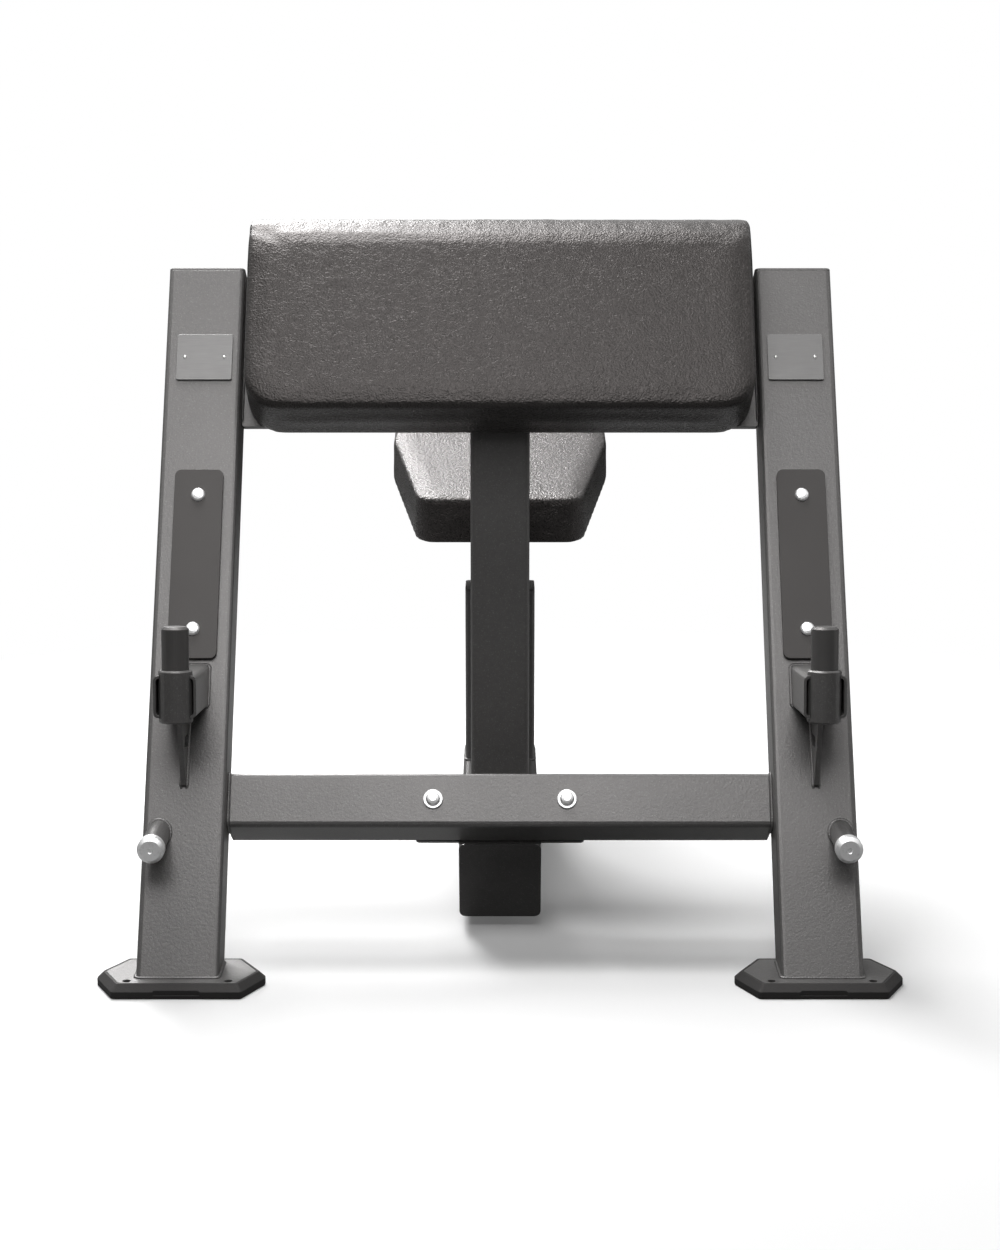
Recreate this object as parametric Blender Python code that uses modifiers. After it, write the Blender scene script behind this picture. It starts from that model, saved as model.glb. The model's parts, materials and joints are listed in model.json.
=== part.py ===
"""Preacher bench: two leaning legs, a base with an adjustable seat, and a padded arm rest.

Metres, +Z up. Sizes along the bench are measured from the front lower edge of the legs,
and the whole bench hangs on one empty that brings its middle over the origin.
The user sits behind the pad, at +Y, and faces -Y.
"""
import math

import bmesh
import bpy
from mathutils import Euler
from mathutils import Matrix
from mathutils import Vector

# Common sizes
GAP = 0.0003
WALL = 0.003
MERGE = 0.0001
ROUND_STEPS = 32
SIDES = {"left": -1, "right": 1}
FRONT_END = -0.026
REAR_END = 0.8661
CENTRE_Y = (FRONT_END + REAR_END) / 2

# Legs, whose tops lean back toward the user
LEAN = math.radians(30)
SOLE = 0.0165
LEG_SPREAD = 0.3768
LEG_WIDTH = 0.097
LEG_DEPTH = 0.060
LEG_LENGTH = 0.919
LEG_CORNER = 0.006
INNER_FACE = LEG_SPREAD - LEG_WIDTH / 2

# Feet: a steel plate seated in a rubber boot
FOOT_SPREAD = 0.3748
FOOT_HALF_WIDTH = 0.0985
FOOT_FRONT_HALF = 0.075
FOOT_BACK_HALF = 0.0715
FOOT_HALF_DEPTH = 0.0515
FOOT_CENTRE_Y = FRONT_END + FOOT_HALF_DEPTH
FOOT_TIP_HALF = 0.004
BOOT_SIDE = 0.0087
BOOT_BEVEL = SOLE - BOOT_SIDE
BOOT_RIM = 0.0105
FOOT_PLATE = 0.006
FOOT_HOLE_RADIUS = 0.0048
FOOT_HOLE_SPREAD = 0.059
FOOT_HOLE_Y = -0.009
NOTCH_WIDTH = 0.057
NOTCH_DEPTH = 0.020
NOTCH_LOW = 0.0045

# Crossbar between the legs
BAR_LOW = 0.1877
BAR_HIGH = 0.2542
BAR_FRONT = 0.024
BAR_BACK = 0.102
BAR_MIDDLE = (BAR_LOW + BAR_HIGH) / 2
BOLT_SPREAD = 0.0807

# Plate behind the arm pad
PLATE_LOW = 0.708
PLATE_HIGH = 0.934
PLATE_FRONT = 0.024
PLATE_BACK = 0.032

# Arm pad
PAD_WIDTH = 0.638
PAD_LOW = 0.698
PAD_HIGH = 0.965
PAD_FACE = 0.063
PAD_BOARD_BACK = PLATE_FRONT - GAP
PAD_BOARD = 0.0177
PAD_LOW_RADIUS = 0.047
PAD_TOP_RADIUS = 0.018
PAD_ROLL = 0.037
PAD_BOLT_SPREAD = 0.200
PAD_BOLT_HEIGHTS = (0.760, 0.880)
BOARD_HOLE = 0.0045

# Base and centre post
SPINE_WIDTH = 0.102
SPINE_LOW = SOLE + GAP
SPINE_TOP = 0.1220
SPINE_WALL = 0.004
SPINE_CORNER = 0.008
SPINE_FRONT_LOW = 0.228
SPINE_FRONT_TOP = 0.190
SPINE_REAR = 0.6997
END_PLATE = 0.003
FLANGE = 0.008
FLANGE_HALF = 0.104
GUSSET = 0.006
GUSSET_END = 0.300
POST_WIDTH = 0.076
POST_DEPTH = 0.060
POST_Y = 0.415
ON_SPINE = SPINE_TOP + GAP

# Rear foot
REAR_BAR_Y = 0.730
REAR_BAR_DEPTH = 0.060
REAR_BAR_HEIGHT = 0.040
REAR_BAR_HALF = 0.250
REAR_FOOT_SPREAD = 0.200

# Seat lift
SEAT_Y = 0.634
SLEEVE_WIDTH = 0.096
SLEEVE_DEPTH = 0.068
SLEEVE_TOP = 0.3617
BUSH_FLANGE = 0.004
BUSH_LENGTH = 0.045
STEM_WIDTH = 0.078
STEM_DEPTH = 0.050
STEM_LOW = 0.178
SEAT_TILT = math.radians(9.9)
SEAT_PLANE = 0.4755
BRACKET = 0.006
HOLE_PITCH = 0.025
LOCK_HEIGHT = 0.295
LOWEST_HOLE = 0.195
HOLE_COUNT = 7
LOCK_HOLE_RADIUS = 0.0065

# Pull pin
PIN_RADIUS = 0.006
PIN_ROD_RADIUS = 0.004
PIN_TIP_Y = 0.650
PIN_COLLAR_RADIUS = 0.0085
HOUSING_RADIUS = 0.0125
HOUSING_BORE = 0.009
HOUSING_LENGTH = 0.034
HOUSING_WALL = 0.005
SPRING_RADIUS = 0.0064
SPRING_WIRE = 0.0007
SPRING_TURNS = 6
KNOB_DEPTH = 0.016

# Seat pad, in its own tilted plane, measured from the stem
SEAT_FRONT = -0.1510
SEAT_WIDEST = 0.1160
SEAT_BACK = 0.2396
SEAT_FRONT_HALF = 0.109
SEAT_HALF = 0.1515
SEAT_BOARD = 0.016
SEAT_THICKNESS = 0.061
SEAT_BOLT_X = 0.060
SEAT_BOLT_Y = 0.035

# Bar catches
CATCH_SPREAD = 0.378
ARM_SIZE = 0.050
ARM_SLOPE = math.radians(7)
ARM_Y = 0.188
ARM_Z = 0.3237
ARM_LENGTH = 0.134
SLEEVE_AT = 0.124
SLEEVE_RADIUS = 0.020
SLEEVE_HALF = 0.031
CATCH_RADIUS = 0.016
CATCH_HEIGHT = 0.0815
CATCH_CHAMFER = 0.002
GUSSET_SLOT = (0.034, 0.014)
GUSSET_SLOT_AT = (0.1250, 0.2700)

# Storage pegs
PEG_SPREAD = 0.4055
PEG_HEIGHT = 0.167
PEG_RADIUS = 0.014
PEG_CAP_RADIUS = 0.016
PEG_END_Y = 0.028
PEG_TIP_Y = 0.012
PEG_LENGTH = 0.080

# Guards, badges and their bolts
FITTING_SPREAD = 0.375
GUARD_WIDTH = 0.060
GUARD_LOW = 0.3898
GUARD_HIGH = 0.6371
GUARD_THICKNESS = 0.006
GUARD_BOLTS = {"low": 0.4272, "high": 0.6029}
BADGE_WIDTH = 0.070
BADGE_LOW = 0.7610
BADGE_HIGH = 0.8236
BADGE_THICKNESS = 0.003

# Bolts with round heads
BOLT_RADIUS = 0.005
BOLT_HOLE = 0.0053
BOLT_HEAD = 0.00875
WASHER = 0.0025
WASHER_RADIUS = 0.012

# Turns that stand an outline up: its x and y go to the axes named
TO_X_AND_Z = (math.pi / 2, 0, 0)
TO_Y_AND_Z = (math.pi / 2, 0, math.pi / 2)
REARWARD = (-math.pi / 2, 0, 0)
FORWARD = (math.pi / 2, 0, 0)


# Scene set-up

def clear_scene():
    for item in list(bpy.data.objects):
        bpy.data.objects.remove(item)


def new_collection(name):
    collection = bpy.data.collections.new(name)
    bpy.context.scene.collection.children.link(collection)
    return collection


clear_scene()
PARTS = new_collection("preacher_bench")
CUTTERS = new_collection("cutters")


def empty(name, location, rotation=(0, 0, 0), parent=None):
    """Axis that pieces hang on."""
    axis = bpy.data.objects.new(name, None)
    axis.empty_display_size = 0.05
    axis.location = location
    axis.rotation_euler = rotation
    axis.parent = parent
    PARTS.objects.link(axis)
    return axis


BENCH = empty("bench_middle", (0, -CENTRE_Y, 0))
LEANING = empty("leg_plane", (0, 0, SOLE), (-LEAN, 0, 0), BENCH)
SEAT_SLIDE = empty("seat_slide_axis", (0, SEAT_Y, LOCK_HEIGHT), parent=BENCH)
SEAT_TOP = empty("seat_plane", (0, 0, SEAT_PLANE - LOCK_HEIGHT), (SEAT_TILT, 0, 0), SEAT_SLIDE)
PIN_SLIDE = empty("pin_slide_axis", (0, PIN_TIP_Y, LOCK_HEIGHT), REARWARD, BENCH)


def material(name, colour, metallic, roughness):
    made = bpy.data.materials.new(name)
    made.use_nodes = True
    shader = made.node_tree.nodes["Principled BSDF"]
    shader.inputs["Base Color"].default_value = (*colour, 1)
    shader.inputs["Metallic"].default_value = metallic
    shader.inputs["Roughness"].default_value = roughness
    return made


PAINT = material("dark_grey_paint", (0.215, 0.211, 0.208), 0.0, 0.5)
LEATHER = material("black_vinyl", (0.070, 0.066, 0.063), 0.0, 0.45)
RUBBER = material("black_rubber", (0.026, 0.026, 0.026), 0.0, 0.7)
CHROME = material("chrome", (0.80, 0.80, 0.80), 1.0, 0.12)
STEEL = material("zinc_plated_steel", (0.62, 0.62, 0.60), 1.0, 0.30)
GUARD = material("guard_plastic", (0.080, 0.078, 0.077), 0.0, 0.55)
PLASTIC = material("black_plastic", (0.037, 0.037, 0.037), 0.0, 0.45)
BADGE = material("grey_badge", (0.30, 0.30, 0.29), 0.6, 0.4)
BOARD = material("black_plywood", (0.030, 0.026, 0.022), 0.0, 0.8)


# Outlines

def rounded(corners, radii, steps=4, splits=0):
    """Outline with an arc at each corner, and with the straight stretches split evenly."""
    arcs = []
    count = len(corners)
    for index in range(count):
        corner = Vector(corners[index])
        before = (Vector(corners[index - 1]) - corner).normalized()
        after = (Vector(corners[(index + 1) % count]) - corner).normalized()
        half = before.angle(after) / 2
        radius = radii[index]
        reach = radius / math.tan(half)
        centre = corner + (before + after).normalized() * radius / math.sin(half)
        first = corner + before * reach - centre
        last = corner + after * reach - centre
        turn = math.pi - 2 * half
        arc = []
        for step in range(steps + 1):
            part = step / steps
            point = first * math.sin((1 - part) * turn) + last * math.sin(part * turn)
            arc.append(centre + point / math.sin(turn))
        arcs.append(arc)
    outline = []
    for index in range(count):
        arc = arcs[index]
        following = arcs[(index + 1) % count][0]
        outline += arc
        for split in range(splits):
            outline.append(arc[-1].lerp(following, (split + 1) / (splits + 1)))
    return [tuple(point) for point in outline]


def inset(corners, distance):
    """Corners of the same outline, drawn in by a distance on every side."""
    moved = []
    count = len(corners)
    for index in range(count):
        corner = Vector(corners[index])
        before = (corner - Vector(corners[index - 1])).normalized()
        after = (Vector(corners[(index + 1) % count]) - corner).normalized()
        inward_before = Vector((-before.y, before.x))
        inward_after = Vector((-after.y, after.x))
        lean_in = (inward_before + inward_after) / (1 + inward_before.dot(inward_after))
        moved.append(tuple(corner + lean_in * distance))
    return moved


def rectangle(width, height, radius, steps=3, centre=(0, 0)):
    x, y = centre
    corners = [
        (x - width / 2, y - height / 2),
        (x + width / 2, y - height / 2),
        (x + width / 2, y + height / 2),
        (x - width / 2, y + height / 2),
    ]
    return rounded(corners, [radius] * 4, steps)


def circle(radius, centre=(0, 0), steps=20):
    x, y = centre
    angles = [2 * math.pi * step / steps for step in range(steps)]
    return [(x + radius * math.cos(a), y + radius * math.sin(a)) for a in angles]


def obround(length, height, centre=(0, 0), slope=0.0, steps=6):
    """Slot with round ends, its long way at a slope."""
    points = []
    for end in (1, -1):
        for step in range(steps + 1):
            angle = math.pi * step / steps - math.pi / 2
            x = end * ((length - height) / 2 + height / 2 * math.cos(angle))
            y = end * height / 2 * math.sin(angle)
            points.append((x, y))
    turn = Matrix.Rotation(slope, 2)
    return [tuple(Vector(centre) + turn @ Vector(point)) for point in points]


# Making pieces

def place(name, mesh, coat, parent, location=(0, 0, 0), rotation=(0, 0, 0), smooth=True):
    piece = bpy.data.objects.new(name, mesh)
    piece.location = location
    piece.rotation_euler = rotation
    piece.parent = parent
    mesh.name = name
    mesh.materials.clear()
    mesh.materials.append(coat)
    if smooth:
        mesh.shade_smooth()
        mesh.set_sharp_from_angle(angle=math.radians(35))
    PARTS.objects.link(piece)
    return piece


def finished(shape):
    """Mesh data of a bmesh, with its faces pointing out."""
    bmesh.ops.recalc_face_normals(shape, faces=shape.faces)
    mesh = bpy.data.meshes.new("shape")
    shape.to_mesh(mesh)
    shape.free()
    return mesh


def slab_mesh(outlines, thickness, base=None):
    """Flat piece cut to its outlines: the first is its edge and the rest are holes."""
    curve = bpy.data.curves.new("drawn", "CURVE")
    curve.dimensions = "2D"
    curve.fill_mode = "BOTH"
    curve.extrude = thickness / 2
    for outline in outlines:
        spline = curve.splines.new("POLY")
        spline.points.add(len(outline) - 1)
        for point, (x, y) in zip(spline.points, outline):
            point.co = (x, y, 0, 1)
        spline.use_cyclic_u = True
    drawing = bpy.data.objects.new("drawing", curve)
    CUTTERS.objects.link(drawing)
    evaluated = drawing.evaluated_get(bpy.context.evaluated_depsgraph_get())
    mesh = bpy.data.meshes.new_from_object(evaluated)
    bpy.data.objects.remove(drawing)
    bpy.data.curves.remove(curve)
    shape = bmesh.new()
    shape.from_mesh(mesh)
    bpy.data.meshes.remove(mesh)
    bmesh.ops.remove_doubles(shape, verts=shape.verts, dist=MERGE / 10)
    lift = 0.0 if base is None else base + thickness / 2
    bmesh.ops.translate(shape, verts=shape.verts, vec=(0, 0, lift))
    return finished(shape)


def slab(name, outlines, thickness, coat, parent, location=(0, 0, 0), rotation=(0, 0, 0), base=None):
    """Flat piece, centred on its thickness or standing on a base height."""
    return place(name, slab_mesh(outlines, thickness, base), coat, parent, location, rotation)


def tube(name, size, length, parent, location, rotation=(0, 0, 0), wall=WALL, corner=LEG_CORNER):
    """Open-ended box tube along its own Z, from zero to its length."""
    width, depth = size
    outer = rectangle(width, depth, corner)
    inner = rectangle(width - 2 * wall, depth - 2 * wall, corner - wall / 2)
    return slab(name, [outer, inner], length, PAINT, parent, location, rotation, base=0)


def mitre(piece, upper, slope, offset):
    """Slide one end's points along the tube onto the plane z = offset + slope * y."""
    heights = [point.co.z for point in piece.data.vertices]
    middle = (min(heights) + max(heights)) / 2
    for point in piece.data.vertices:
        if (point.co.z > middle) == upper:
            point.co.z = offset + slope * point.co.y


def turned_mesh(profile, steps=ROUND_STEPS, loop=False):
    """Body turned about its own Z from (radius, height) points, run down the outer side."""
    mesh = bpy.data.meshes.new("profile")
    points = [(radius, 0, height) for radius, height in profile]
    edges = [(index, index + 1) for index in range(len(points) - 1)]
    if loop:
        edges.append((len(points) - 1, 0))
    mesh.from_pydata(points, edges, [])
    lathe = bpy.data.objects.new("lathe", mesh)
    CUTTERS.objects.link(lathe)
    screw = lathe.modifiers.new("turn", "SCREW")
    screw.axis = "Z"
    screw.steps = steps
    screw.render_steps = steps
    screw.use_merge_vertices = True
    screw.merge_threshold = MERGE / 10
    evaluated = lathe.evaluated_get(bpy.context.evaluated_depsgraph_get())
    made = bpy.data.meshes.new_from_object(evaluated)
    bpy.data.objects.remove(lathe)
    bpy.data.meshes.remove(mesh)
    shape = bmesh.new()
    shape.from_mesh(made)
    bpy.data.meshes.remove(made)
    bmesh.ops.remove_doubles(shape, verts=shape.verts, dist=MERGE / 10)
    return finished(shape)


def turned(name, profile, coat, parent, location, rotation=(0, 0, 0), steps=ROUND_STEPS, loop=False):
    return place(name, turned_mesh(profile, steps, loop), coat, parent, location, rotation)


def copies_mesh(mesh, places):
    """Cutter that holds a copy of a drill at every place, each turned to run along Y."""
    shape = bmesh.new()
    turn = Euler(REARWARD).to_matrix().to_4x4()
    for spot in places:
        known = len(shape.verts)
        shape.from_mesh(mesh)
        fresh = list(shape.verts)[known:]
        bmesh.ops.transform(shape, matrix=Matrix.Translation(spot) @ turn, verts=fresh)
    return finished(shape)


def loft_mesh(rings, closed):
    """Skin over rings of equal count, joined end to end or capped at both ends."""
    shape = bmesh.new()
    rows = [[shape.verts.new(point) for point in ring] for ring in rings]
    pairs = list(zip(rows, rows[1:]))
    if closed:
        pairs.append((rows[-1], rows[0]))
    for low, high in pairs:
        for index in range(len(low)):
            following = (index + 1) % len(low)
            shape.faces.new((low[index], low[following], high[following], high[index]))
    if not closed:
        shape.faces.new(rows[0])
        shape.faces.new(rows[-1])
    return finished(shape)


def ring(outline, height):
    return [(x, y, height) for x, y in outline]


def combine(piece, mesh, name, location, rotation, parent, operation, solver="EXACT"):
    tool = bpy.data.objects.new(name, mesh)
    tool.location = location
    tool.rotation_euler = rotation
    tool.parent = parent
    tool.hide_render = True
    tool.display_type = "WIRE"
    CUTTERS.objects.link(tool)
    boolean = piece.modifiers.new(name, "BOOLEAN")
    boolean.operation = operation
    boolean.solver = solver
    boolean.object = tool


def cut(piece, mesh, name, location, rotation=(0, 0, 0), solver="EXACT"):
    """Take a cutter's shape out of a piece, placed beside it under the same parent."""
    combine(piece, mesh, name, location, rotation, piece.parent, "DIFFERENCE", solver)


def weld(piece, mesh, name, location, rotation, parent):
    """Make a piece and another shape one body."""
    combine(piece, mesh, name, location, rotation, parent, "UNION", "MANIFOLD")


def rod_mesh(radius, low, high, steps=20):
    """Plain round rod along Z."""
    shape = bmesh.new()
    bmesh.ops.create_cone(
        shape, cap_ends=True, segments=steps, radius1=radius, radius2=radius, depth=high - low
    )
    bmesh.ops.translate(shape, verts=shape.verts, vec=(0, 0, (low + high) / 2))
    return finished(shape)


# Fasteners

def button_bolt(head_height, length):
    """Profile of a round-headed bolt, its head's seat at zero and its shank below."""
    return [
        (0, head_height),
        (BOLT_HEAD * 0.45, head_height),
        (BOLT_HEAD * 0.78, head_height * 0.80),
        (BOLT_HEAD * 0.95, head_height * 0.45),
        (BOLT_HEAD, head_height * 0.12),
        (BOLT_HEAD, 0),
        (BOLT_RADIUS, 0),
        (BOLT_RADIUS, -length),
        (0, -length),
    ]


# Cushions

def cushion_mesh(corners, radii, thickness, edge, roll=0.0, crown=0.004, pull=0.0015, steps=4, splits=5):
    """Stuffed pad on a flat back: sides drawn in between corners, a rounded edge, a crowned face.

    A roll rounds the face over the far edge along Y with its own larger radius.
    """
    far = max(y for x, y in corners)
    near = min(y for x, y in corners)
    half_width = max(x for x, y in corners)

    def face_height(y):
        over = max(0.0, y - (far - roll))
        if roll == 0:
            return thickness
        return thickness - roll + math.sqrt(max(0.0, roll * roll - over * over))

    def edge_drop(depth, y):
        short = max(0.0, edge - depth)
        drop = edge - math.sqrt(edge * edge - short * short)
        if roll == 0:
            return drop
        return drop * (1 - min(1.0, max(0.0, (y - (far - roll)) / roll)))

    def outline(depth, draw):
        drawn = rounded(inset(corners, depth), [max(r - depth, 0.003) for r in radii], steps, splits)
        per_side = steps + 1 + splits
        points = []
        for index, (x, y) in enumerate(drawn):
            along = max(0, index % per_side - steps) / (splits + 1)
            inward = draw * math.sin(math.pi * along)
            middle = Vector((x, y - (near + far) / 2))
            shrink = 1 - inward / middle.length
            points.append((middle.x * shrink, middle.y * shrink + (near + far) / 2))
        return points

    rings = []
    sides = ((0.007, 0.0, 0.0), (0.002, 0.08, 0.3), (0.0, 0.3, 0.8), (0.0, 0.7, 1.0))
    for depth, share, draw in sides:
        row = []
        for x, y in outline(depth, pull * draw):
            wall = face_height(y) - edge_drop(depth, y)
            row.append((x, y, wall * share))
        rings.append(row)
    depths = [edge * share for share in (0, 0.12, 0.34, 0.65, 1, 1.7, 2.6, 4, 6)]
    for depth in depths:
        row = []
        for x, y in outline(depth, pull):
            swell = 1 - (x / half_width) ** 2
            swell *= 1 - ((y - (near + far) / 2) / ((far - near) / 2)) ** 2
            height = face_height(y) - edge_drop(depth, y) + crown * max(0.0, swell) - crown
            row.append((x, y, height))
        rings.append(row)
    return loft_mesh(rings, closed=False)


# Legs and feet

def front_plane(along, out):
    """Y and Z of a point along the legs' front and out in front of it."""
    y = along * math.sin(LEAN) - out * math.cos(LEAN)
    z = SOLE + along * math.cos(LEAN) + out * math.sin(LEAN)
    return y, z


def make_leg(side, sign):
    """Leaning box tube, cut level where it stands on its foot plate, with a welded cap."""
    x = sign * LEG_SPREAD
    tall = LEG_LENGTH - END_PLATE - GAP
    leg = tube(f"leg_{side}", (LEG_WIDTH, LEG_DEPTH), tall, LEANING, (x, LEG_DEPTH / 2, 0))
    level = math.tan(LEAN)
    mitre(leg, False, level, LEG_DEPTH / 2 * level + GAP / math.cos(LEAN))
    spots = [(sign * FITTING_SPREAD, 0, height) for height in GUARD_BOLTS.values()]
    drill = copies_mesh(rod_mesh(BOLT_HOLE, -0.01, 0.01), spots)
    cut(leg, drill, f"leg_{side}_drill", (0, 0, 0))
    cap = rectangle(LEG_WIDTH, LEG_DEPTH, LEG_CORNER)
    spot = (x, LEG_DEPTH / 2, LEG_LENGTH - END_PLATE)
    slab(f"leg_cap_{side}", [cap], END_PLATE, PAINT, LEANING, spot, base=0)


def foot_corners(shrink):
    """Long six-sided foot with blunt tips, counter-clockwise from its front left corner."""
    corners = [
        (-FOOT_FRONT_HALF, -FOOT_HALF_DEPTH),
        (FOOT_FRONT_HALF, -FOOT_HALF_DEPTH),
        (FOOT_HALF_WIDTH, -FOOT_TIP_HALF),
        (FOOT_HALF_WIDTH, FOOT_TIP_HALF),
        (FOOT_BACK_HALF, FOOT_HALF_DEPTH),
        (-FOOT_BACK_HALF, FOOT_HALF_DEPTH),
        (-FOOT_HALF_WIDTH, FOOT_TIP_HALF),
        (-FOOT_HALF_WIDTH, -FOOT_TIP_HALF),
    ]
    return inset(corners, shrink)


def foot_outline(shrink):
    return rounded(foot_corners(shrink), [0.004, 0.004, 0.0015, 0.0015, 0.004, 0.004, 0.0015, 0.0015], 2)


def make_foot(label, x, y, drilled):
    """Rubber boot with a bevelled rim, and the steel plate seated in it."""
    floor = SOLE - FOOT_PLATE - GAP
    rings = [
        ring(foot_outline(0.001), 0),
        ring(foot_outline(0), 0.001),
        ring(foot_outline(0), BOOT_SIDE),
        ring(foot_outline(BOOT_BEVEL), SOLE),
        ring(foot_outline(BOOT_RIM), SOLE),
        ring(foot_outline(BOOT_RIM), floor),
    ]
    boot = place(f"boot_{label}", loft_mesh(rings, closed=False), RUBBER, BENCH, (x, y, 0))
    notch = slab_mesh([rectangle(NOTCH_WIDTH, NOTCH_DEPTH, 0.004)], 0.010, base=NOTCH_LOW)
    cut(boot, notch, f"boot_{label}_notch", (x, y - FOOT_HALF_DEPTH - 0.0085, 0))
    holes = []
    if drilled:
        hole_y = FOOT_HOLE_Y - FOOT_CENTRE_Y
        holes = [circle(FOOT_HOLE_RADIUS, (turn * FOOT_HOLE_SPREAD, hole_y), 16) for turn in (-1, 1)]
    edge = foot_outline(BOOT_RIM + GAP)
    slab(f"foot_plate_{label}", [edge] + holes, FOOT_PLATE, PAINT, BENCH, (x, y, floor + GAP), base=0)


# Crossbar, plate and base

def make_crossbar():
    """Box tube between the legs, in line with them, with an end plate welded to each leg."""
    depth = BAR_BACK - BAR_FRONT
    height = BAR_HIGH - BAR_LOW
    half = INNER_FACE - END_PLATE - 2 * GAP
    middle = (BAR_FRONT + BAR_BACK) / 2
    bar = tube("crossbar", (depth, height), 2 * half, LEANING, (-half, middle, BAR_MIDDLE), TO_Y_AND_Z)
    spots = [(turn * BOLT_SPREAD, middle, BAR_MIDDLE) for turn in (-1, 1)]
    drill = copies_mesh(rod_mesh(BOLT_HOLE, -depth, depth), spots)
    cut(bar, drill, "crossbar_drill", (0, 0, 0))
    for side, sign in SIDES.items():
        x = sign * (INNER_FACE - GAP - END_PLATE / 2)
        plate = rectangle(depth, height, LEG_CORNER)
        spot = (x, middle, BAR_MIDDLE)
        slab(f"crossbar_end_{side}", [plate], END_PLATE, PAINT, LEANING, spot, TO_Y_AND_Z)


def make_crossbar_bolt(side, sign):
    """Long bolt with its washer, which holds the base's flange to the crossbar."""
    seat = BAR_FRONT - GAP
    x = sign * BOLT_SPREAD
    washer = [
        (BOLT_HOLE, 0),
        (BOLT_HOLE, WASHER),
        (WASHER_RADIUS - 0.0008, WASHER),
        (WASHER_RADIUS, WASHER - 0.0008),
        (WASHER_RADIUS, 0),
    ]
    spot = (x, seat, BAR_MIDDLE)
    turned(f"crossbar_washer_{side}", washer, CHROME, LEANING, spot, FORWARD, 24, loop=True)
    head = seat - WASHER - GAP
    length = BAR_BACK + FLANGE + 0.0135 - head
    profile = button_bolt(0.0055, length)
    turned(f"crossbar_bolt_{side}", profile, CHROME, LEANING, (x, head, BAR_MIDDLE), FORWARD, 20)


def make_cross_plate():
    """Flat plate between the legs that carries the pad and meets the post."""
    half = INNER_FACE - GAP
    middle = (PLATE_LOW + PLATE_HIGH) / 2
    tall = PLATE_HIGH - PLATE_LOW
    corners = [(-half, -tall / 2), (half, -tall / 2), (half, tall / 2), (-half, tall / 2)]
    edge = rounded(corners, [0.004, 0.004, 0.016, 0.016], 4)
    holes = [circle(BOARD_HOLE, (x, u - middle), 16) for x, u in pad_bolt_spots()]
    depth = (PLATE_FRONT + PLATE_BACK) / 2
    thick = PLATE_BACK - PLATE_FRONT
    slab("cross_plate", [edge] + holes, thick, PAINT, LEANING, (0, depth, middle), TO_X_AND_Z)


def pad_bolt_spots():
    return [(turn * PAD_BOLT_SPREAD, height) for turn in (-1, 1) for height in PAD_BOLT_HEIGHTS]


def make_post():
    """Upright box tube from the base to the back of the plate, its top cut to the plate's lean."""
    post = tube("center_post", (POST_WIDTH, POST_DEPTH), 0.6, BENCH, (0, POST_Y, ON_SPINE))
    depth = PLATE_BACK + GAP
    top = SOLE + POST_Y / math.tan(LEAN) - depth / math.sin(LEAN) - ON_SPINE
    mitre(post, True, 1 / math.tan(LEAN), top)


def make_spine():
    """Low box tube along the floor, undercut at the front, with plates closing both ends."""
    tall = SPINE_TOP - SPINE_LOW
    middle = (SPINE_TOP + SPINE_LOW) / 2
    lean = math.atan2(SPINE_FRONT_LOW - SPINE_FRONT_TOP, tall)
    skin = (END_PLATE + GAP) / math.cos(lean)
    front = (SPINE_FRONT_LOW + SPINE_FRONT_TOP) / 2
    spine = tube(
        "base_spine", (SPINE_WIDTH, tall), 0.5, BENCH, (0, 0, middle), REARWARD, SPINE_WALL, SPINE_CORNER
    )
    mitre(spine, False, math.tan(lean), front + skin)
    mitre(spine, True, 0, SPINE_REAR - END_PLATE - GAP)
    face = rectangle(SPINE_WIDTH, tall / math.cos(lean), SPINE_CORNER)
    back = front + END_PLATE / 2 / math.cos(lean)
    leaning = (math.pi / 2 + lean, 0, 0)
    slab("spine_front_plate", [face], END_PLATE, PAINT, BENCH, (0, back, middle), leaning)
    rear = rectangle(SPINE_WIDTH, tall, SPINE_CORNER)
    spot = (0, SPINE_REAR - END_PLATE / 2, middle)
    slab("spine_rear_plate", [rear], END_PLATE, PAINT, BENCH, spot, TO_X_AND_Z)


def make_flange():
    """Bolting plate on the base's front, behind the crossbar, with a gusset behind it."""
    depth = BAR_BACK + GAP
    foot = (ON_SPINE - SOLE + (depth + FLANGE) * math.sin(LEAN)) / math.cos(LEAN) - BAR_MIDDLE
    low = BAR_LOW - BAR_MIDDLE
    high = BAR_HIGH - BAR_MIDDLE
    tab = SPINE_WIDTH / 2
    corners = [
        (-FLANGE_HALF, low),
        (-tab, low),
        (-tab, foot),
        (tab, foot),
        (tab, low),
        (FLANGE_HALF, low),
        (FLANGE_HALF, high),
        (-FLANGE_HALF, high),
    ]
    edge = rounded(corners, [0.004, 0.0005, 0.0005, 0.0005, 0.0005, 0.004, 0.008, 0.008], 2)
    holes = [circle(BOLT_HOLE, (turn * BOLT_SPREAD, 0), 20) for turn in (-1, 1)]
    spot = (0, depth + FLANGE / 2, BAR_MIDDLE)
    flange = slab("spine_flange", [edge] + holes, FLANGE, PAINT, LEANING, spot, TO_X_AND_Z)
    inside = -(BAR_BACK + FLANGE / 2)
    low_y = front_plane(BAR_LOW, inside)[0]
    high_y, high_z = front_plane(BAR_HIGH - 0.012, inside)
    corners = [(low_y, ON_SPINE + GAP), (GUSSET_END, ON_SPINE + GAP), (GUSSET_END, ON_SPINE + 0.008)]
    corners += [(high_y + 0.012, high_z), (high_y, high_z)]
    web = slab_mesh([rounded(corners, [0.001, 0.001, 0.004, 0.004, 0.001], 2)], GUSSET)
    weld(flange, web, "spine_flange_web", (0, 0, 0), TO_Y_AND_Z, BENCH)


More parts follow.
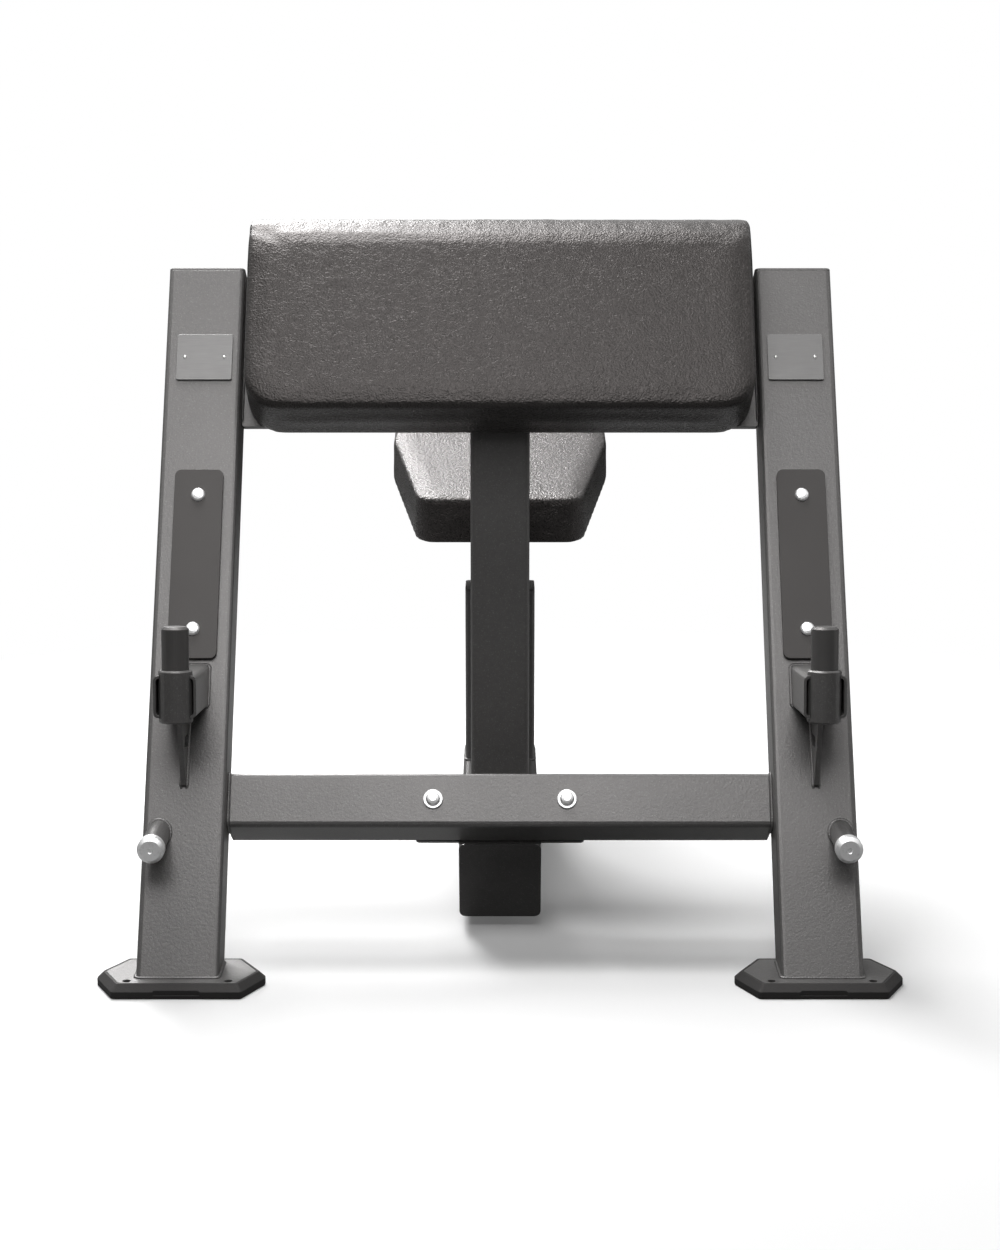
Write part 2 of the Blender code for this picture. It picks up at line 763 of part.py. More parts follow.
def make_rear_foot():
    """Low cross tube behind the seat, with a plug in each end."""
    middle = SPINE_LOW + REAR_BAR_HEIGHT / 2
    size = (REAR_BAR_DEPTH, REAR_BAR_HEIGHT)
    half = REAR_BAR_HALF - 0.0025 - GAP
    tube("rear_foot_bar", size, 2 * half, BENCH, (-half, REAR_BAR_Y, middle), TO_Y_AND_Z)
    for side, sign in SIDES.items():
        lid = rectangle(REAR_BAR_DEPTH, REAR_BAR_HEIGHT, LEG_CORNER)
        inside = 2 * WALL + 2 * GAP
        body = rectangle(REAR_BAR_DEPTH - inside, REAR_BAR_HEIGHT - inside, LEG_CORNER - WALL / 2)
        rings = [
            ring([(x * 0.96, y * 0.96) for x, y in lid], 0.0025),
            ring(lid, 0.0015),
            ring(lid, 0),
            ring(body, 0),
            ring(body, -0.012),
        ]
        turn = (math.pi / 2, 0, sign * math.pi / 2)
        spot = (sign * (half + GAP), REAR_BAR_Y, middle)
        place(f"rear_bar_plug_{side}", loft_mesh(rings, closed=False), PLASTIC, BENCH, spot, turn)


# Arm pad

def pad_corners():
    half = PAD_WIDTH / 2
    tall = PAD_HIGH - PAD_LOW
    return [(-half, -tall / 2), (half, -tall / 2), (half, tall / 2), (-half, tall / 2)]


def make_arm_pad():
    """Vinyl cushion on a plywood board, with a large roll along its top edge."""
    middle = (PAD_LOW + PAD_HIGH) / 2
    radii = [PAD_LOW_RADIUS, PAD_LOW_RADIUS, PAD_TOP_RADIUS, PAD_TOP_RADIUS]
    edge = rounded(inset(pad_corners(), 0.004), [radius - 0.004 for radius in radii], 6)
    holes = [circle(BOARD_HOLE, (x, u - middle), 16) for x, u in pad_bolt_spots()]
    spot = (0, PAD_BOARD_BACK - PAD_BOARD / 2, middle)
    slab("arm_pad_board", [edge] + holes, PAD_BOARD, BOARD, LEANING, spot, TO_X_AND_Z)
    back = PAD_BOARD_BACK - PAD_BOARD - GAP
    mesh = cushion_mesh(pad_corners(), radii, PAD_FACE + back, edge=0.013, roll=PAD_ROLL, crown=0.003)
    place("arm_pad", mesh, LEATHER, LEANING, (0, back, middle), TO_X_AND_Z)


# Fittings on the legs

def make_guard(side, sign):
    """Plastic strip that keeps the bar off the leg's paint."""
    middle = (GUARD_LOW + GUARD_HIGH) / 2
    edge = rectangle(GUARD_WIDTH, GUARD_HIGH - GUARD_LOW, 0.008, 4)
    holes = [circle(BOLT_HOLE, (0, height - middle), 16) for height in GUARD_BOLTS.values()]
    spot = (sign * FITTING_SPREAD, -GAP - GUARD_THICKNESS / 2, middle)
    slab(f"guard_{side}", [edge] + holes, GUARD_THICKNESS, GUARD, LEANING, spot, TO_X_AND_Z)


def make_guard_bolts(side, sign):
    head = -2 * GAP - GUARD_THICKNESS
    for level, height in GUARD_BOLTS.items():
        spot = (sign * FITTING_SPREAD, head, height)
        name = f"guard_bolt_{side}_{level}"
        turned(name, button_bolt(0.005, 0.020), CHROME, LEANING, spot, FORWARD, 20)


def make_badge(side, sign):
    """Bare metal badge."""
    middle = (BADGE_LOW + BADGE_HIGH) / 2
    edge = rectangle(BADGE_WIDTH, BADGE_HIGH - BADGE_LOW, 0.002, 2)
    spot = (sign * FITTING_SPREAD, -GAP - BADGE_THICKNESS / 2, middle)
    slab(f"badge_{side}", [edge], BADGE_THICKNESS, BADGE, LEANING, spot, TO_X_AND_Z)


def on_arm(along, up):
    """Y and Z of a point along the catch's arm and square above its middle line."""
    y = ARM_Y - along * math.cos(ARM_SLOPE) + up * math.sin(ARM_SLOPE)
    z = ARM_Z + along * math.sin(ARM_SLOPE) + up * math.cos(ARM_SLOPE)
    return y, z


def make_catch(side, sign):
    """Bar catch: a sloping arm, a round sleeve let into its end, and a post that stops the bar."""
    x = sign * CATCH_SPREAD
    toward = (math.pi / 2 - ARM_SLOPE, 0, 0)
    arm = tube(f"catch_arm_{side}", (ARM_SIZE, ARM_SIZE), ARM_LENGTH, BENCH, (x, ARM_Y, ARM_Z), toward)
    angle = LEAN - ARM_SLOPE
    reach = (ARM_Y * math.cos(LEAN) - (ARM_Z - SOLE) * math.sin(LEAN) + GAP) / math.cos(angle)
    mitre(arm, False, -math.tan(angle), reach)
    lean_back = (-ARM_SLOPE, 0, 0)
    spot = (x, *on_arm(SLEEVE_AT, 0))
    cope = rod_mesh(SLEEVE_RADIUS + GAP, -ARM_SIZE, ARM_SIZE, 30)
    cut(arm, cope, f"catch_arm_{side}_cope", spot, lean_back, "MANIFOLD")
    cut_back = SLEEVE_RADIUS - CATCH_CHAMFER
    sleeve = [
        (cut_back, SLEEVE_HALF),
        (SLEEVE_RADIUS, SLEEVE_HALF - CATCH_CHAMFER),
        (SLEEVE_RADIUS, CATCH_CHAMFER - SLEEVE_HALF),
        (cut_back, -SLEEVE_HALF),
        (CATCH_RADIUS + GAP, -SLEEVE_HALF),
        (CATCH_RADIUS + GAP, SLEEVE_HALF),
    ]
    turned(f"catch_sleeve_{side}", sleeve, PAINT, BENCH, spot, lean_back, loop=True)
    post = [
        (0, CATCH_HEIGHT),
        (CATCH_RADIUS - 0.003, CATCH_HEIGHT),
        (CATCH_RADIUS, CATCH_HEIGHT - 0.003),
        (CATCH_RADIUS, 0.001 - SLEEVE_HALF),
        (CATCH_RADIUS - 0.001, -SLEEVE_HALF),
        (0, -SLEEVE_HALF),
    ]
    turned(f"catch_post_{side}", post, PLASTIC, BENCH, spot, lean_back)
    corners = [
        on_arm(0.101, -ARM_SIZE / 2 - GAP),
        front_plane(0.226, GAP),
        front_plane(0.316, GAP),
        on_arm(0.036, -ARM_SIZE / 2 - GAP),
    ]
    slot = obround(*GUSSET_SLOT, GUSSET_SLOT_AT, -ARM_SLOPE)
    edge = rounded(corners, [0.003, 0.003, 0.001, 0.001], 2)
    slab(f"catch_gusset_{side}", [edge, slot], GUSSET, PAINT, BENCH, (x, 0, 0), TO_Y_AND_Z)


def make_peg(side, sign):
    """Storage peg on the leg's outer side, with a turned cap."""
    x = sign * PEG_SPREAD
    mesh = rod_mesh(PEG_RADIUS, 0, PEG_LENGTH, 28)
    peg = place(f"peg_{side}", mesh, PAINT, BENCH, (x, PEG_END_Y + PEG_LENGTH, PEG_HEIGHT), FORWARD)
    root = PEG_END_Y + PEG_LENGTH - (PEG_HEIGHT - SOLE) * math.tan(LEAN) + GAP / math.cos(LEAN)
    mitre(peg, False, -math.tan(LEAN), root)
    tip = PEG_END_Y - PEG_TIP_Y
    cap = [
        (0, tip - 0.001),
        (0.0025, tip - 0.001),
        (0.0035, tip),
        (PEG_CAP_RADIUS - 0.004, tip),
        (PEG_CAP_RADIUS, tip - 0.004),
        (PEG_CAP_RADIUS, GAP + 0.001),
        (PEG_CAP_RADIUS - 0.001, GAP),
        (0, GAP),
    ]
    turned(f"peg_cap_{side}", cap, CHROME, BENCH, (x, PEG_END_Y, PEG_HEIGHT), FORWARD)


# Seat lift, seat and pull pin

def make_seat_sleeve():
    """Upright guide tube with a flanged bushing in its mouth and a hole for the pin."""
    size = (SLEEVE_WIDTH, SLEEVE_DEPTH)
    sleeve = tube("seat_sleeve", size, SLEEVE_TOP - ON_SPINE, BENCH, (0, SEAT_Y, ON_SPINE))
    hole = rod_mesh(PIN_RADIUS + GAP, -0.01, 0.01)
    cut(sleeve, hole, "seat_sleeve_drill", (0, SEAT_Y + SLEEVE_DEPTH / 2, LOCK_HEIGHT), REARWARD)
    bore = rectangle(STEM_WIDTH + 2 * GAP, STEM_DEPTH + 2 * GAP, LEG_CORNER)
    body = rectangle(SLEEVE_WIDTH - 2 * WALL - 2 * GAP, SLEEVE_DEPTH - 2 * WALL - 2 * GAP, LEG_CORNER)
    brim = rectangle(SLEEVE_WIDTH, SLEEVE_DEPTH, LEG_CORNER)
    rings = [
        ring(bore, BUSH_FLANGE),
        ring(bore, -BUSH_LENGTH),
        ring(body, -BUSH_LENGTH),
        ring(body, 0),
        ring(brim, 0),
        ring(brim, BUSH_FLANGE),
    ]
    spot = (0, SEAT_Y, SLEEVE_TOP + GAP)
    place("seat_sleeve_bushing", loft_mesh(rings, closed=True), PLASTIC, BENCH, spot)


def make_stem():
    """Sliding tube with a row of lock holes in its rear face, cut to the seat's tilt on top."""
    low = STEM_LOW - LOCK_HEIGHT
    stem = tube("seat_stem", (STEM_WIDTH, STEM_DEPTH), 0.3, SEAT_SLIDE, (0, 0, low))
    top = SEAT_PLANE - (BRACKET + 2 * GAP) / math.cos(SEAT_TILT) - STEM_LOW
    mitre(stem, True, math.tan(SEAT_TILT), top)
    heights = [LOWEST_HOLE - LOCK_HEIGHT + HOLE_PITCH * index for index in range(HOLE_COUNT)]
    spots = [(0, STEM_DEPTH / 2, height) for height in heights]
    drill = copies_mesh(rod_mesh(LOCK_HOLE_RADIUS, -0.01, 0.01), spots)
    cut(stem, drill, "seat_stem_drill", (0, 0, 0), solver="MANIFOLD")


def seat_corners(shrink=0.0):
    """Seat plan: narrow in front, widest behind the stem, with round rear corners."""
    corners = [
        (-SEAT_FRONT_HALF, SEAT_FRONT),
        (SEAT_FRONT_HALF, SEAT_FRONT),
        (SEAT_HALF, SEAT_WIDEST),
        (SEAT_HALF, SEAT_BACK),
        (-SEAT_HALF, SEAT_BACK),
        (-SEAT_HALF, SEAT_WIDEST),
    ]
    return inset(corners, shrink)


def make_seat():
    """Bracket, board and cushion on the stem."""
    radii = [0.030, 0.030, 0.090, 0.055, 0.055, 0.090]
    spots = [(turn * SEAT_BOLT_X, way * SEAT_BOLT_Y) for turn in (-1, 1) for way in (-1, 1)]
    holes = [circle(BOARD_HOLE, spot, 16) for spot in spots]
    edge = rectangle(0.160, 0.110, 0.012)
    slab("seat_bracket", [edge] + holes, BRACKET, PAINT, SEAT_TOP, base=-BRACKET - GAP)
    edge = rounded(seat_corners(0.004), [radius - 0.004 for radius in radii], 5)
    slab("seat_board", [edge] + holes, SEAT_BOARD, BOARD, SEAT_TOP, base=0)
    thick = SEAT_THICKNESS - SEAT_BOARD - GAP
    mesh = cushion_mesh(seat_corners(), radii, thick, edge=0.011, crown=0.004, splits=3)
    place("seat_cushion", mesh, LEATHER, SEAT_TOP, (0, 0, SEAT_BOARD + GAP))


def make_pin():
    """Spring pin: a housing on the sleeve, and a shaft with a collar that the spring pushes home."""
    face = SEAT_Y + SLEEVE_DEPTH / 2 + GAP
    bore = HOUSING_BORE
    mouth = PIN_ROD_RADIUS + GAP
    housing = [
        (bore, 0),
        (bore, HOUSING_LENGTH - HOUSING_WALL),
        (mouth, HOUSING_LENGTH - HOUSING_WALL),
        (mouth, HOUSING_LENGTH),
        (HOUSING_RADIUS - 0.0015, HOUSING_LENGTH),
        (HOUSING_RADIUS, HOUSING_LENGTH - 0.0015),
        (HOUSING_RADIUS, 0),
    ]
    turned("pin_housing", housing, STEEL, BENCH, (0, face, LOCK_HEIGHT), REARWARD, 24, loop=True)
    collar = face - PIN_TIP_Y + GAP
    knob_start = face + HOUSING_LENGTH + 0.0008 - PIN_TIP_Y
    shaft = [
        (0, knob_start + KNOB_DEPTH),
        (PIN_ROD_RADIUS, knob_start + KNOB_DEPTH),
        (PIN_ROD_RADIUS, collar + 0.003),
        (PIN_COLLAR_RADIUS, collar + 0.003),
        (PIN_COLLAR_RADIUS, collar),
        (PIN_RADIUS, collar),
        (PIN_RADIUS, 0.002),
        (PIN_RADIUS - 0.002, 0),
        (0, 0),
    ]
    turned("pin_shaft", shaft, STEEL, PIN_SLIDE, (0, 0, 0), steps=20)
    blind = PIN_ROD_RADIUS + GAP
    knob = [
        (0, 0.034),
        (0.009, 0.034),
        (0.015, 0.030),
        (0.018, 0.023),
        (0.016, 0.015),
        (0.0105, 0.009),
        (0.010, 0.001),
        (0.009, 0),
        (blind, 0),
        (blind, KNOB_DEPTH + GAP),
        (0, KNOB_DEPTH + GAP),
    ]
    turned("pin_knob", knob, PLASTIC, PIN_SLIDE, (0, 0, knob_start), steps=24)
    make_spring(collar + 0.003, face + HOUSING_LENGTH - HOUSING_WALL - PIN_TIP_Y)


def make_spring(low, high):
    """Coil between the collar and the housing's end."""
    margin = SPRING_WIRE + 2 * GAP
    start = low + margin
    rise = high - low - 2 * margin
    count = SPRING_TURNS * 9
    curve = bpy.data.curves.new("pin_spring", "CURVE")
    curve.dimensions = "3D"
    curve.bevel_depth = SPRING_WIRE
    curve.bevel_resolution = 1
    curve.use_fill_caps = True
    spline = curve.splines.new("POLY")
    spline.points.add(count)
    for index, point in enumerate(spline.points):
        angle = 2 * math.pi * SPRING_TURNS * index / count
        x = SPRING_RADIUS * math.cos(angle)
        y = SPRING_RADIUS * math.sin(angle)
        point.co = (x, y, start + rise * index / count, 1)
    curve.materials.append(STEEL)
    spring = bpy.data.objects.new("pin_spring", curve)
    spring.parent = PIN_SLIDE
    PARTS.objects.link(spring)


def make_bench():
    for side, sign in SIDES.items():
        make_leg(side, sign)
        make_foot(f"front_{side}", sign * FOOT_SPREAD, FOOT_CENTRE_Y, True)
        make_foot(f"rear_{side}", sign * REAR_FOOT_SPREAD, REAR_BAR_Y, False)
        make_crossbar_bolt(side, sign)
        make_guard(side, sign)
        make_guard_bolts(side, sign)
        make_badge(side, sign)
        make_catch(side, sign)
        make_peg(side, sign)
    make_crossbar()
    make_cross_plate()
    make_post()
    make_spine()
    make_flange()
    make_rear_foot()
    make_arm_pad()
    make_seat_sleeve()
    make_stem()
    make_seat()
    make_pin()
    bpy.context.view_layer.update()


make_bench()
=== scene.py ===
"""Looks of the preacher bench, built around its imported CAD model.

Metres, +Z up, in the CAD model's own frame. The user sits at +Y and faces -Y,
and the camera looks at the bench from -Y, as the photograph does.
"""

import json
import math

import bmesh
import bpy
import numpy as np
from mathutils import Matrix
from mathutils import Vector
from mathutils import noise


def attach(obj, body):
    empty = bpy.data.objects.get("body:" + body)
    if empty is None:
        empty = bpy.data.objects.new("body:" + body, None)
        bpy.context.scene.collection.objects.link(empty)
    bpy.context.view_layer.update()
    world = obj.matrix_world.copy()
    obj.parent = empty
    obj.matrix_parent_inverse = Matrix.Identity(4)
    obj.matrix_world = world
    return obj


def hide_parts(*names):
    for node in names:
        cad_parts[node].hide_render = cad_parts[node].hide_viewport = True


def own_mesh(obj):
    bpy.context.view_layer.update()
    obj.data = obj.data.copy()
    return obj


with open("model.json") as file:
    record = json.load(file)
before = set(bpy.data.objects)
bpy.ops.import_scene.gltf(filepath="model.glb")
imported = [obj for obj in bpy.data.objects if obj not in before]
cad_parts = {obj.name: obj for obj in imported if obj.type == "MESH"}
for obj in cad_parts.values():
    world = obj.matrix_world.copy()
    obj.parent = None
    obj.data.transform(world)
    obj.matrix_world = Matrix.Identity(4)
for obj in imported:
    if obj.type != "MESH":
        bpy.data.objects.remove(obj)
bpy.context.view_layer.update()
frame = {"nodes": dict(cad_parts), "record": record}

# Places taken over from the CAD model
GAP = 0.0003
CENTRE_Y = 0.42005
LEAN = math.radians(30)
SOLE = 0.0165
SIDES = {"left": -1, "right": 1}
INNER_FACE = 0.3283
LEG_SPREAD = 0.3768
LEG_WIDTH = 0.097
LEG_DEPTH = 0.060
FITTING_SPREAD = 0.375

PLATE_FRONT = 0.024
PLATE_BACK = 0.032
PLATE_LOW = 0.708
PLATE_HIGH = 0.934

PAD_WIDTH = 0.638
PAD_LOW = 0.698
PAD_HIGH = 0.965
PAD_MIDDLE = (PAD_LOW + PAD_HIGH) / 2
PAD_BACK = 0.0057
PAD_THICKNESS = 0.0687
PAD_BOARD = 0.0177
PAD_ROLL = (0.068, 0.045)
PAD_TOP_FULLER = 0.010
PAD_EDGE = 0.009
PAD_RADII = (0.047, 0.047, 0.018, 0.018)
PAD_BOLTS = [(x, u) for x in (-0.200, 0.200) for u in (0.760, 0.880)]

SEAT_Y = 0.634
SEAT_PLANE = 0.4755
SEAT_TILT = math.radians(9.9)
SEAT_FRONT = -0.1510
SEAT_WIDEST = 0.1160
SEAT_BACK = 0.2396
SEAT_FRONT_HALF = 0.109
SEAT_HALF = 0.1515
SEAT_BOARD = 0.016
SEAT_THICKNESS = 0.061
SEAT_EDGE = 0.007
SEAT_RADII = (0.030, 0.030, 0.090, 0.055, 0.055, 0.090)
SEAT_BOLTS = [(x, y) for x in (-0.060, 0.060) for y in (-0.035, 0.035)]
BRACKET_BACK = -0.0063

BAR_MIDDLE = 0.22095
BAR_BOLT_SPREAD = 0.0807
FLANGE_BACK = 0.1103

BAR_FRONT = 0.024
BAR_LOW = 0.1877
BAR_HIGH = 0.2542
POST_WIDTH = 0.076
POST_DEPTH = 0.060
POST_Y = 0.415
SPINE_TOP = 0.1220
SPINE_REAR = 0.6997
FLANGE_ON_SPINE = 0.1895
WEB_END = 0.298
SLEEVE_WIDTH = 0.096
SLEEVE_DEPTH = 0.068
CATCH_SPREAD = 0.378
ARM_SIZE = 0.050
ARM_ON_LEG = (0.3290, 0.3833)
GUSSET_ON_LEG = (0.228, 0.314)
PEG_SPREAD = 0.4055
PEG_HEIGHT = 0.167
PEG_RADIUS = 0.014
BADGE_MIDDLE = 0.7923
BADGE_FRONT = 0.0033

# Small hardware: washers are (bore, radius, thickness), heads and nuts (across, height, bore)
HAIR = 0.0001
BOLT_WASHER = (0.0043, 0.0090, 0.0016)
BOLT_HEAD = (0.013, 0.0053)
NUT_WASHER = (0.0054, 0.0100, 0.0020)
NUT = (0.017, 0.0080, 0.0052)
WASHER_SOFTENED = 0.0003
HEX_CHAMFER = 0.6
HEX_FACE = 0.93
HEX_FOOT = 0.97
MOUTH_DEPTH = 0.0006
MOUTH_FLARE = 1.10
RIVET_DOME = [(0, 0.0009), (0.0009, 0.0008), (0.0016, 0.0005), (0.0020, 0.0001), (0.0020, 0), (0, 0)]
RIVET_STEPS = 20
RIVET_SHIFT = 0.025
STAPLE = (0.010, 0.0012, 0.0006)
STAPLE_PITCH = 0.024
STAPLE_LIFT = 0.0006
PAD_STAPLES_IN = (0.030, 0.013)

# Welds
WELD = 0.0023
WELD_HEIGHT = 0.8
WELD_RIPPLE = 0.0036
RIPPLE_POINTS = 3
RIPPLE_SHARE = 0.10
UNEVEN_SHARE = 0.16
END_SHARE = 0.45
END_GROWTH = 0.14
WELD_SIDES = 8
WELD_EASED = 2 * WELD
SHARP_TURN = 0.0005
WELD_LIFT = 0.0004
POST_HEAD_TRIM = 0.002
WEB_START = 0.004
BEAD_BESIDE_LEG = 0.0012
BAR_WELD_END = 0.003
BAR_CORNER = 0.006
PLATE_WELD_ENDS = (0.006, 0.018)
FLANGE_HALF = 0.044
WEB_FACE = 0.0034
REAR_BAR_TOP = 0.0403
REAR_BAR_HALF = 0.046
FOOT_WELD_REACH = 0.060
GUSSET_FACE = 0.0033
PEG_WELD_STEPS = 24

# Planes that the pieces are drawn in
BENCH = Matrix.Translation((0, -CENTRE_Y, 0))
LEG_PLANE = BENCH @ Matrix.Translation((0, 0, SOLE)) @ Matrix.Rotation(-LEAN, 4, "X")
FACING_FRONT = Matrix.Rotation(math.pi / 2, 4, "X")
FACING_BACK = Matrix.Rotation(-math.pi / 2, 4, "X")
FACING_DOWN = Matrix.Rotation(math.pi, 4, "X")
ACROSS = Matrix(((0, 0, 1, 0), (1, 0, 0, 0), (0, 1, 0, 0), (0, 0, 0, 1)))
SEAT_TOP = BENCH @ Matrix.Translation((0, SEAT_Y, SEAT_PLANE)) @ Matrix.Rotation(SEAT_TILT, 4, "X")
PAD_PLANE = LEG_PLANE @ Matrix.Translation((0, PAD_BACK, PAD_MIDDLE)) @ FACING_FRONT

# Stuffed covers
NO_ROLL = (0, 0)
EDGE_STEPS = (0, 0.05, 0.12, 0.22, 0.35, 0.5, 0.7, 1, 1.5, 2.5, 4, 6)
UNDERSIDE = 0.010
RIM = 0.0016
VOXEL = 0.004
WRAP = 0.0008
TUCK = 0.024
START_LARGER = 0.0006
PAD_HELD = 0.030
SEAT_HELD = 0.024
HELD_FULLY = 1.3
PAD_CAP = 0.0022
SEAT_CAP = 0.0032
SINK = 0.0007
EVENING = 12
FRAMES = 20
CLOTH = {
    "quality": 6,
    "mass": 0.3,
    "tension_stiffness": 12,
    "compression_stiffness": 12,
    "shear_stiffness": 6,
    "bending_stiffness": 0.4,
    "use_pressure": True,
    "uniform_pressure_force": 4.0,
}
BOARD_INSET = 0.004 - GAP
PLATE_ROOM_LOW = 0.008
PLATE_ROOM_HIGH = 0.002
PAST = 0.01
CREASE_DEPTH = 0.0009
CREASES_DOWN = 0.15
COVER_ANGLE = 50

# Studio: each light has its power, width and length, place and aim
FLOOR_RADIUS = 26
FLOOR_SEEN = (0.73, 0.73, 0.73)
FLOOR_BOUNCE = (0.10, 0.10, 0.10)
FLOOR_IN_GLOSS = 0.20
FLOOR_LIFT = 0.10
WHITE_TO_CAMERA = (0.62, 1.7)
WHITE_IN_GLOSS = (3.0, 6.0)
WORLD_FILL = 0.025
FLAG_REACH = 3.0
FLAG_HEIGHT = 1.6
FLAG_STEPS = 48
FLAG_TONE = (0.03, 0.03, 0.03)
LIGHTS = {
    "key": (92, (1.4, 1.4), (-0.50, 0.50, 3.05), (0, 0, 0.6)),
    "front_top": (24, (1.4, 1.15), (-0.1, -1.75, 2.1), (0, 0, 0.4)),
    "back_top": (36, (1.4, 1.1), (-0.9, 1.60, 2.8), (0, 0, 0.6)),
    "back_left": (80, (1.1, 0.8), (-1.0, 2.45, 2.3), (0, 0, 0.6)),
    "side_left": (3, (0.8, 1.6), (-2.3, 0.0, 0.9), (0, 0, 0.4)),
    "side_right": (5, (0.8, 1.6), (2.3, 0.0, 0.9), (0, 0, 0.4)),
}
CAMERA_LENS = 69.12
CAMERA_SENSOR = 36
CAMERA_PLACE = (0, -3.08005, 0.9765)
CAMERA_DIP = 11.47

# Tones of the finishes, and the tints of the reflections off them
EDGE_SAMPLES = 4
PAINT_DARK = (0.082, 0.080, 0.079)
PAINT_LIGHT = (0.102, 0.100, 0.098)
PAINT_MOTTLE = (0.050, 0.049, 0.048)
PAINT_FLECK = (0.36, 0.355, 0.35)
PAINT_RUBBED = (0.32, 0.315, 0.31)
PAINT_TINT = (1.0, 0.97, 0.96)
VINYL_DARK = (0.014, 0.013, 0.0125)
VINYL_LIGHT = (0.028, 0.0265, 0.025)
VINYL_PORE = (0.058, 0.054, 0.052)
VINYL_CREASE = (0.075, 0.071, 0.068)
VINYL_TINT = (1.0, 0.92, 0.90)
RUBBER_TONES = ((0.020, 0.020, 0.020), (0.032, 0.031, 0.031))
GUARD_TONES = ((0.036, 0.035, 0.034), (0.048, 0.046, 0.045))
PLASTIC_TONES = ((0.060, 0.059, 0.058), (0.080, 0.078, 0.077))
PLASTIC_TINT = (1.0, 0.95, 0.93)
SATIN_TONE = (0.95, 0.95, 0.95)
ZINC_TONE = (0.62, 0.62, 0.60)
BADGE_DARK = (0.12, 0.118, 0.117)
BADGE_LIGHT = (0.19, 0.187, 0.185)
BADGE_RUBBED = (0.55, 0.55, 0.54)
BOARD_DARK = (0.022, 0.019, 0.017)
BOARD_LIGHT = (0.050, 0.042, 0.035)
BOARD_FIBRE = (0.075, 0.062, 0.050)


# Node materials

class Recipe:
    """Material under construction: nodes are added by type, and inputs take values or sockets."""

    def __init__(self, name):
        self.material = bpy.data.materials.new(name)
        self.material.use_nodes = True
        self.tree = self.material.node_tree
        self.shader = self.tree.nodes["Principled BSDF"]
        self.place = self.add("ShaderNodeTexCoord").outputs["Object"]

    def add(self, kind, inputs=None, **settings):
        node = self.tree.nodes.new(kind)
        for key, value in settings.items():
            setattr(node, key, value)
        for key, value in (inputs or {}).items():
            self.feed(node.inputs[key], value)
        return node

    def feed(self, socket, value):
        if isinstance(value, bpy.types.NodeSocket):
            self.tree.links.new(value, socket)
        else:
            socket.default_value = value

    def stretched(self, factors):
        mapping = self.add("ShaderNodeMapping", {"Vector": self.place, "Scale": factors})
        return mapping.outputs["Vector"]

    def noise(self, scale, detail=2.0, roughness=0.5, vector=None):
        inputs = {
            "Vector": vector or self.place,
            "Scale": scale,
            "Detail": detail,
            "Roughness": roughness,
        }
        return self.add("ShaderNodeTexNoise", inputs).outputs["Fac"]

    def cells(self, scale, vector):
        return self.add("ShaderNodeTexVoronoi", {"Vector": vector, "Scale": scale}).outputs["Distance"]

    def ranged(self, value, low, high, to_low=0.0, to_high=1.0):
        inputs = {"Value": value, 1: low, 2: high, 3: to_low, 4: to_high}
        return self.add("ShaderNodeMapRange", inputs).outputs["Result"]

    def math(self, operation, first, second):
        node = self.add("ShaderNodeMath", {0: first, 1: second}, operation=operation)
        return node.outputs["Value"]

    def scaled(self, value, factor):
        return self.math("MULTIPLY", value, factor)

    def mixed(self, share, first, second):
        """Colour between two colours: the second one by the share, the first one by the rest."""
        node = self.add("ShaderNodeMix", {"Factor": share}, data_type="RGBA")
        colours = [socket for socket in node.inputs if socket.type == "RGBA"]
        self.feed(colours[0], first)
        self.feed(colours[1], second)
        return [socket for socket in node.outputs if socket.type == "RGBA"][0]

    def edges(self, width):
        """Normal of the rounded edge, and a mask that is 1 on the edge and 0 away from it."""
        soft = self.add("ShaderNodeBevel", {"Radius": width}, samples=EDGE_SAMPLES).outputs["Normal"]
        flat = self.add("ShaderNodeNewGeometry").outputs["Normal"]
        dot = self.add("ShaderNodeVectorMath", {0: soft, 1: flat}, operation="DOT_PRODUCT")
        return soft, self.ranged(dot.outputs["Value"], 0.80, 0.985, 1.0, 0.0)

    def bump(self, height, strength, distance, normal=None):
        inputs = {"Height": height, "Strength": strength, "Distance": distance}
        if normal is not None:
            inputs["Normal"] = normal
        return self.add("ShaderNodeBump", inputs).outputs["Normal"]

    def finish(self, **sockets):
        for key, value in sockets.items():
            self.feed(self.shader.inputs[key.replace("_", " ")], value)
        return self.material


def colour(red, green, blue):
    return (red, green, blue, 1.0)


def powder_coat():
    """Satin dark grey stoved paint: fine orange peel, faint clouding, edges rubbed a little lighter."""
    made = Recipe("powder_coat")
    peel = made.noise(330, 3, 0.6)
    grain = made.noise(1100, 2)
    cloud = made.noise(7, 3)
    mottle = made.noise(210, 3, 0.65)
    fleck = made.ranged(made.noise(620, 2), 0.60, 0.72)
    soft, edge = made.edges(0.0012)
    scuff = made.math("MULTIPLY", edge, made.ranged(made.noise(60, 4), 0.35, 0.75))
    fine = made.scaled(grain, 0.4)
    base = made.mixed(cloud, colour(*PAINT_DARK), colour(*PAINT_LIGHT))
    base = made.mixed(made.ranged(mottle, 0.35, 0.68, 0.0, 0.30), base, colour(*PAINT_MOTTLE))
    base = made.mixed(made.scaled(fleck, 0.25), base, colour(*PAINT_FLECK))
    base = made.mixed(made.scaled(scuff, 0.35), base, colour(*PAINT_RUBBED))
    rough = made.ranged(made.math("ADD", cloud, fine), 0.4, 1.0, 0.32, 0.40)
    normal = made.bump(made.math("ADD", peel, fine), 0.45, 0.0006, soft)
    return made.finish(
        Base_Color=base,
        Roughness=rough,
        Normal=normal,
        Specular_IOR_Level=0.9,
        Specular_Tint=colour(*PAINT_TINT),
    )


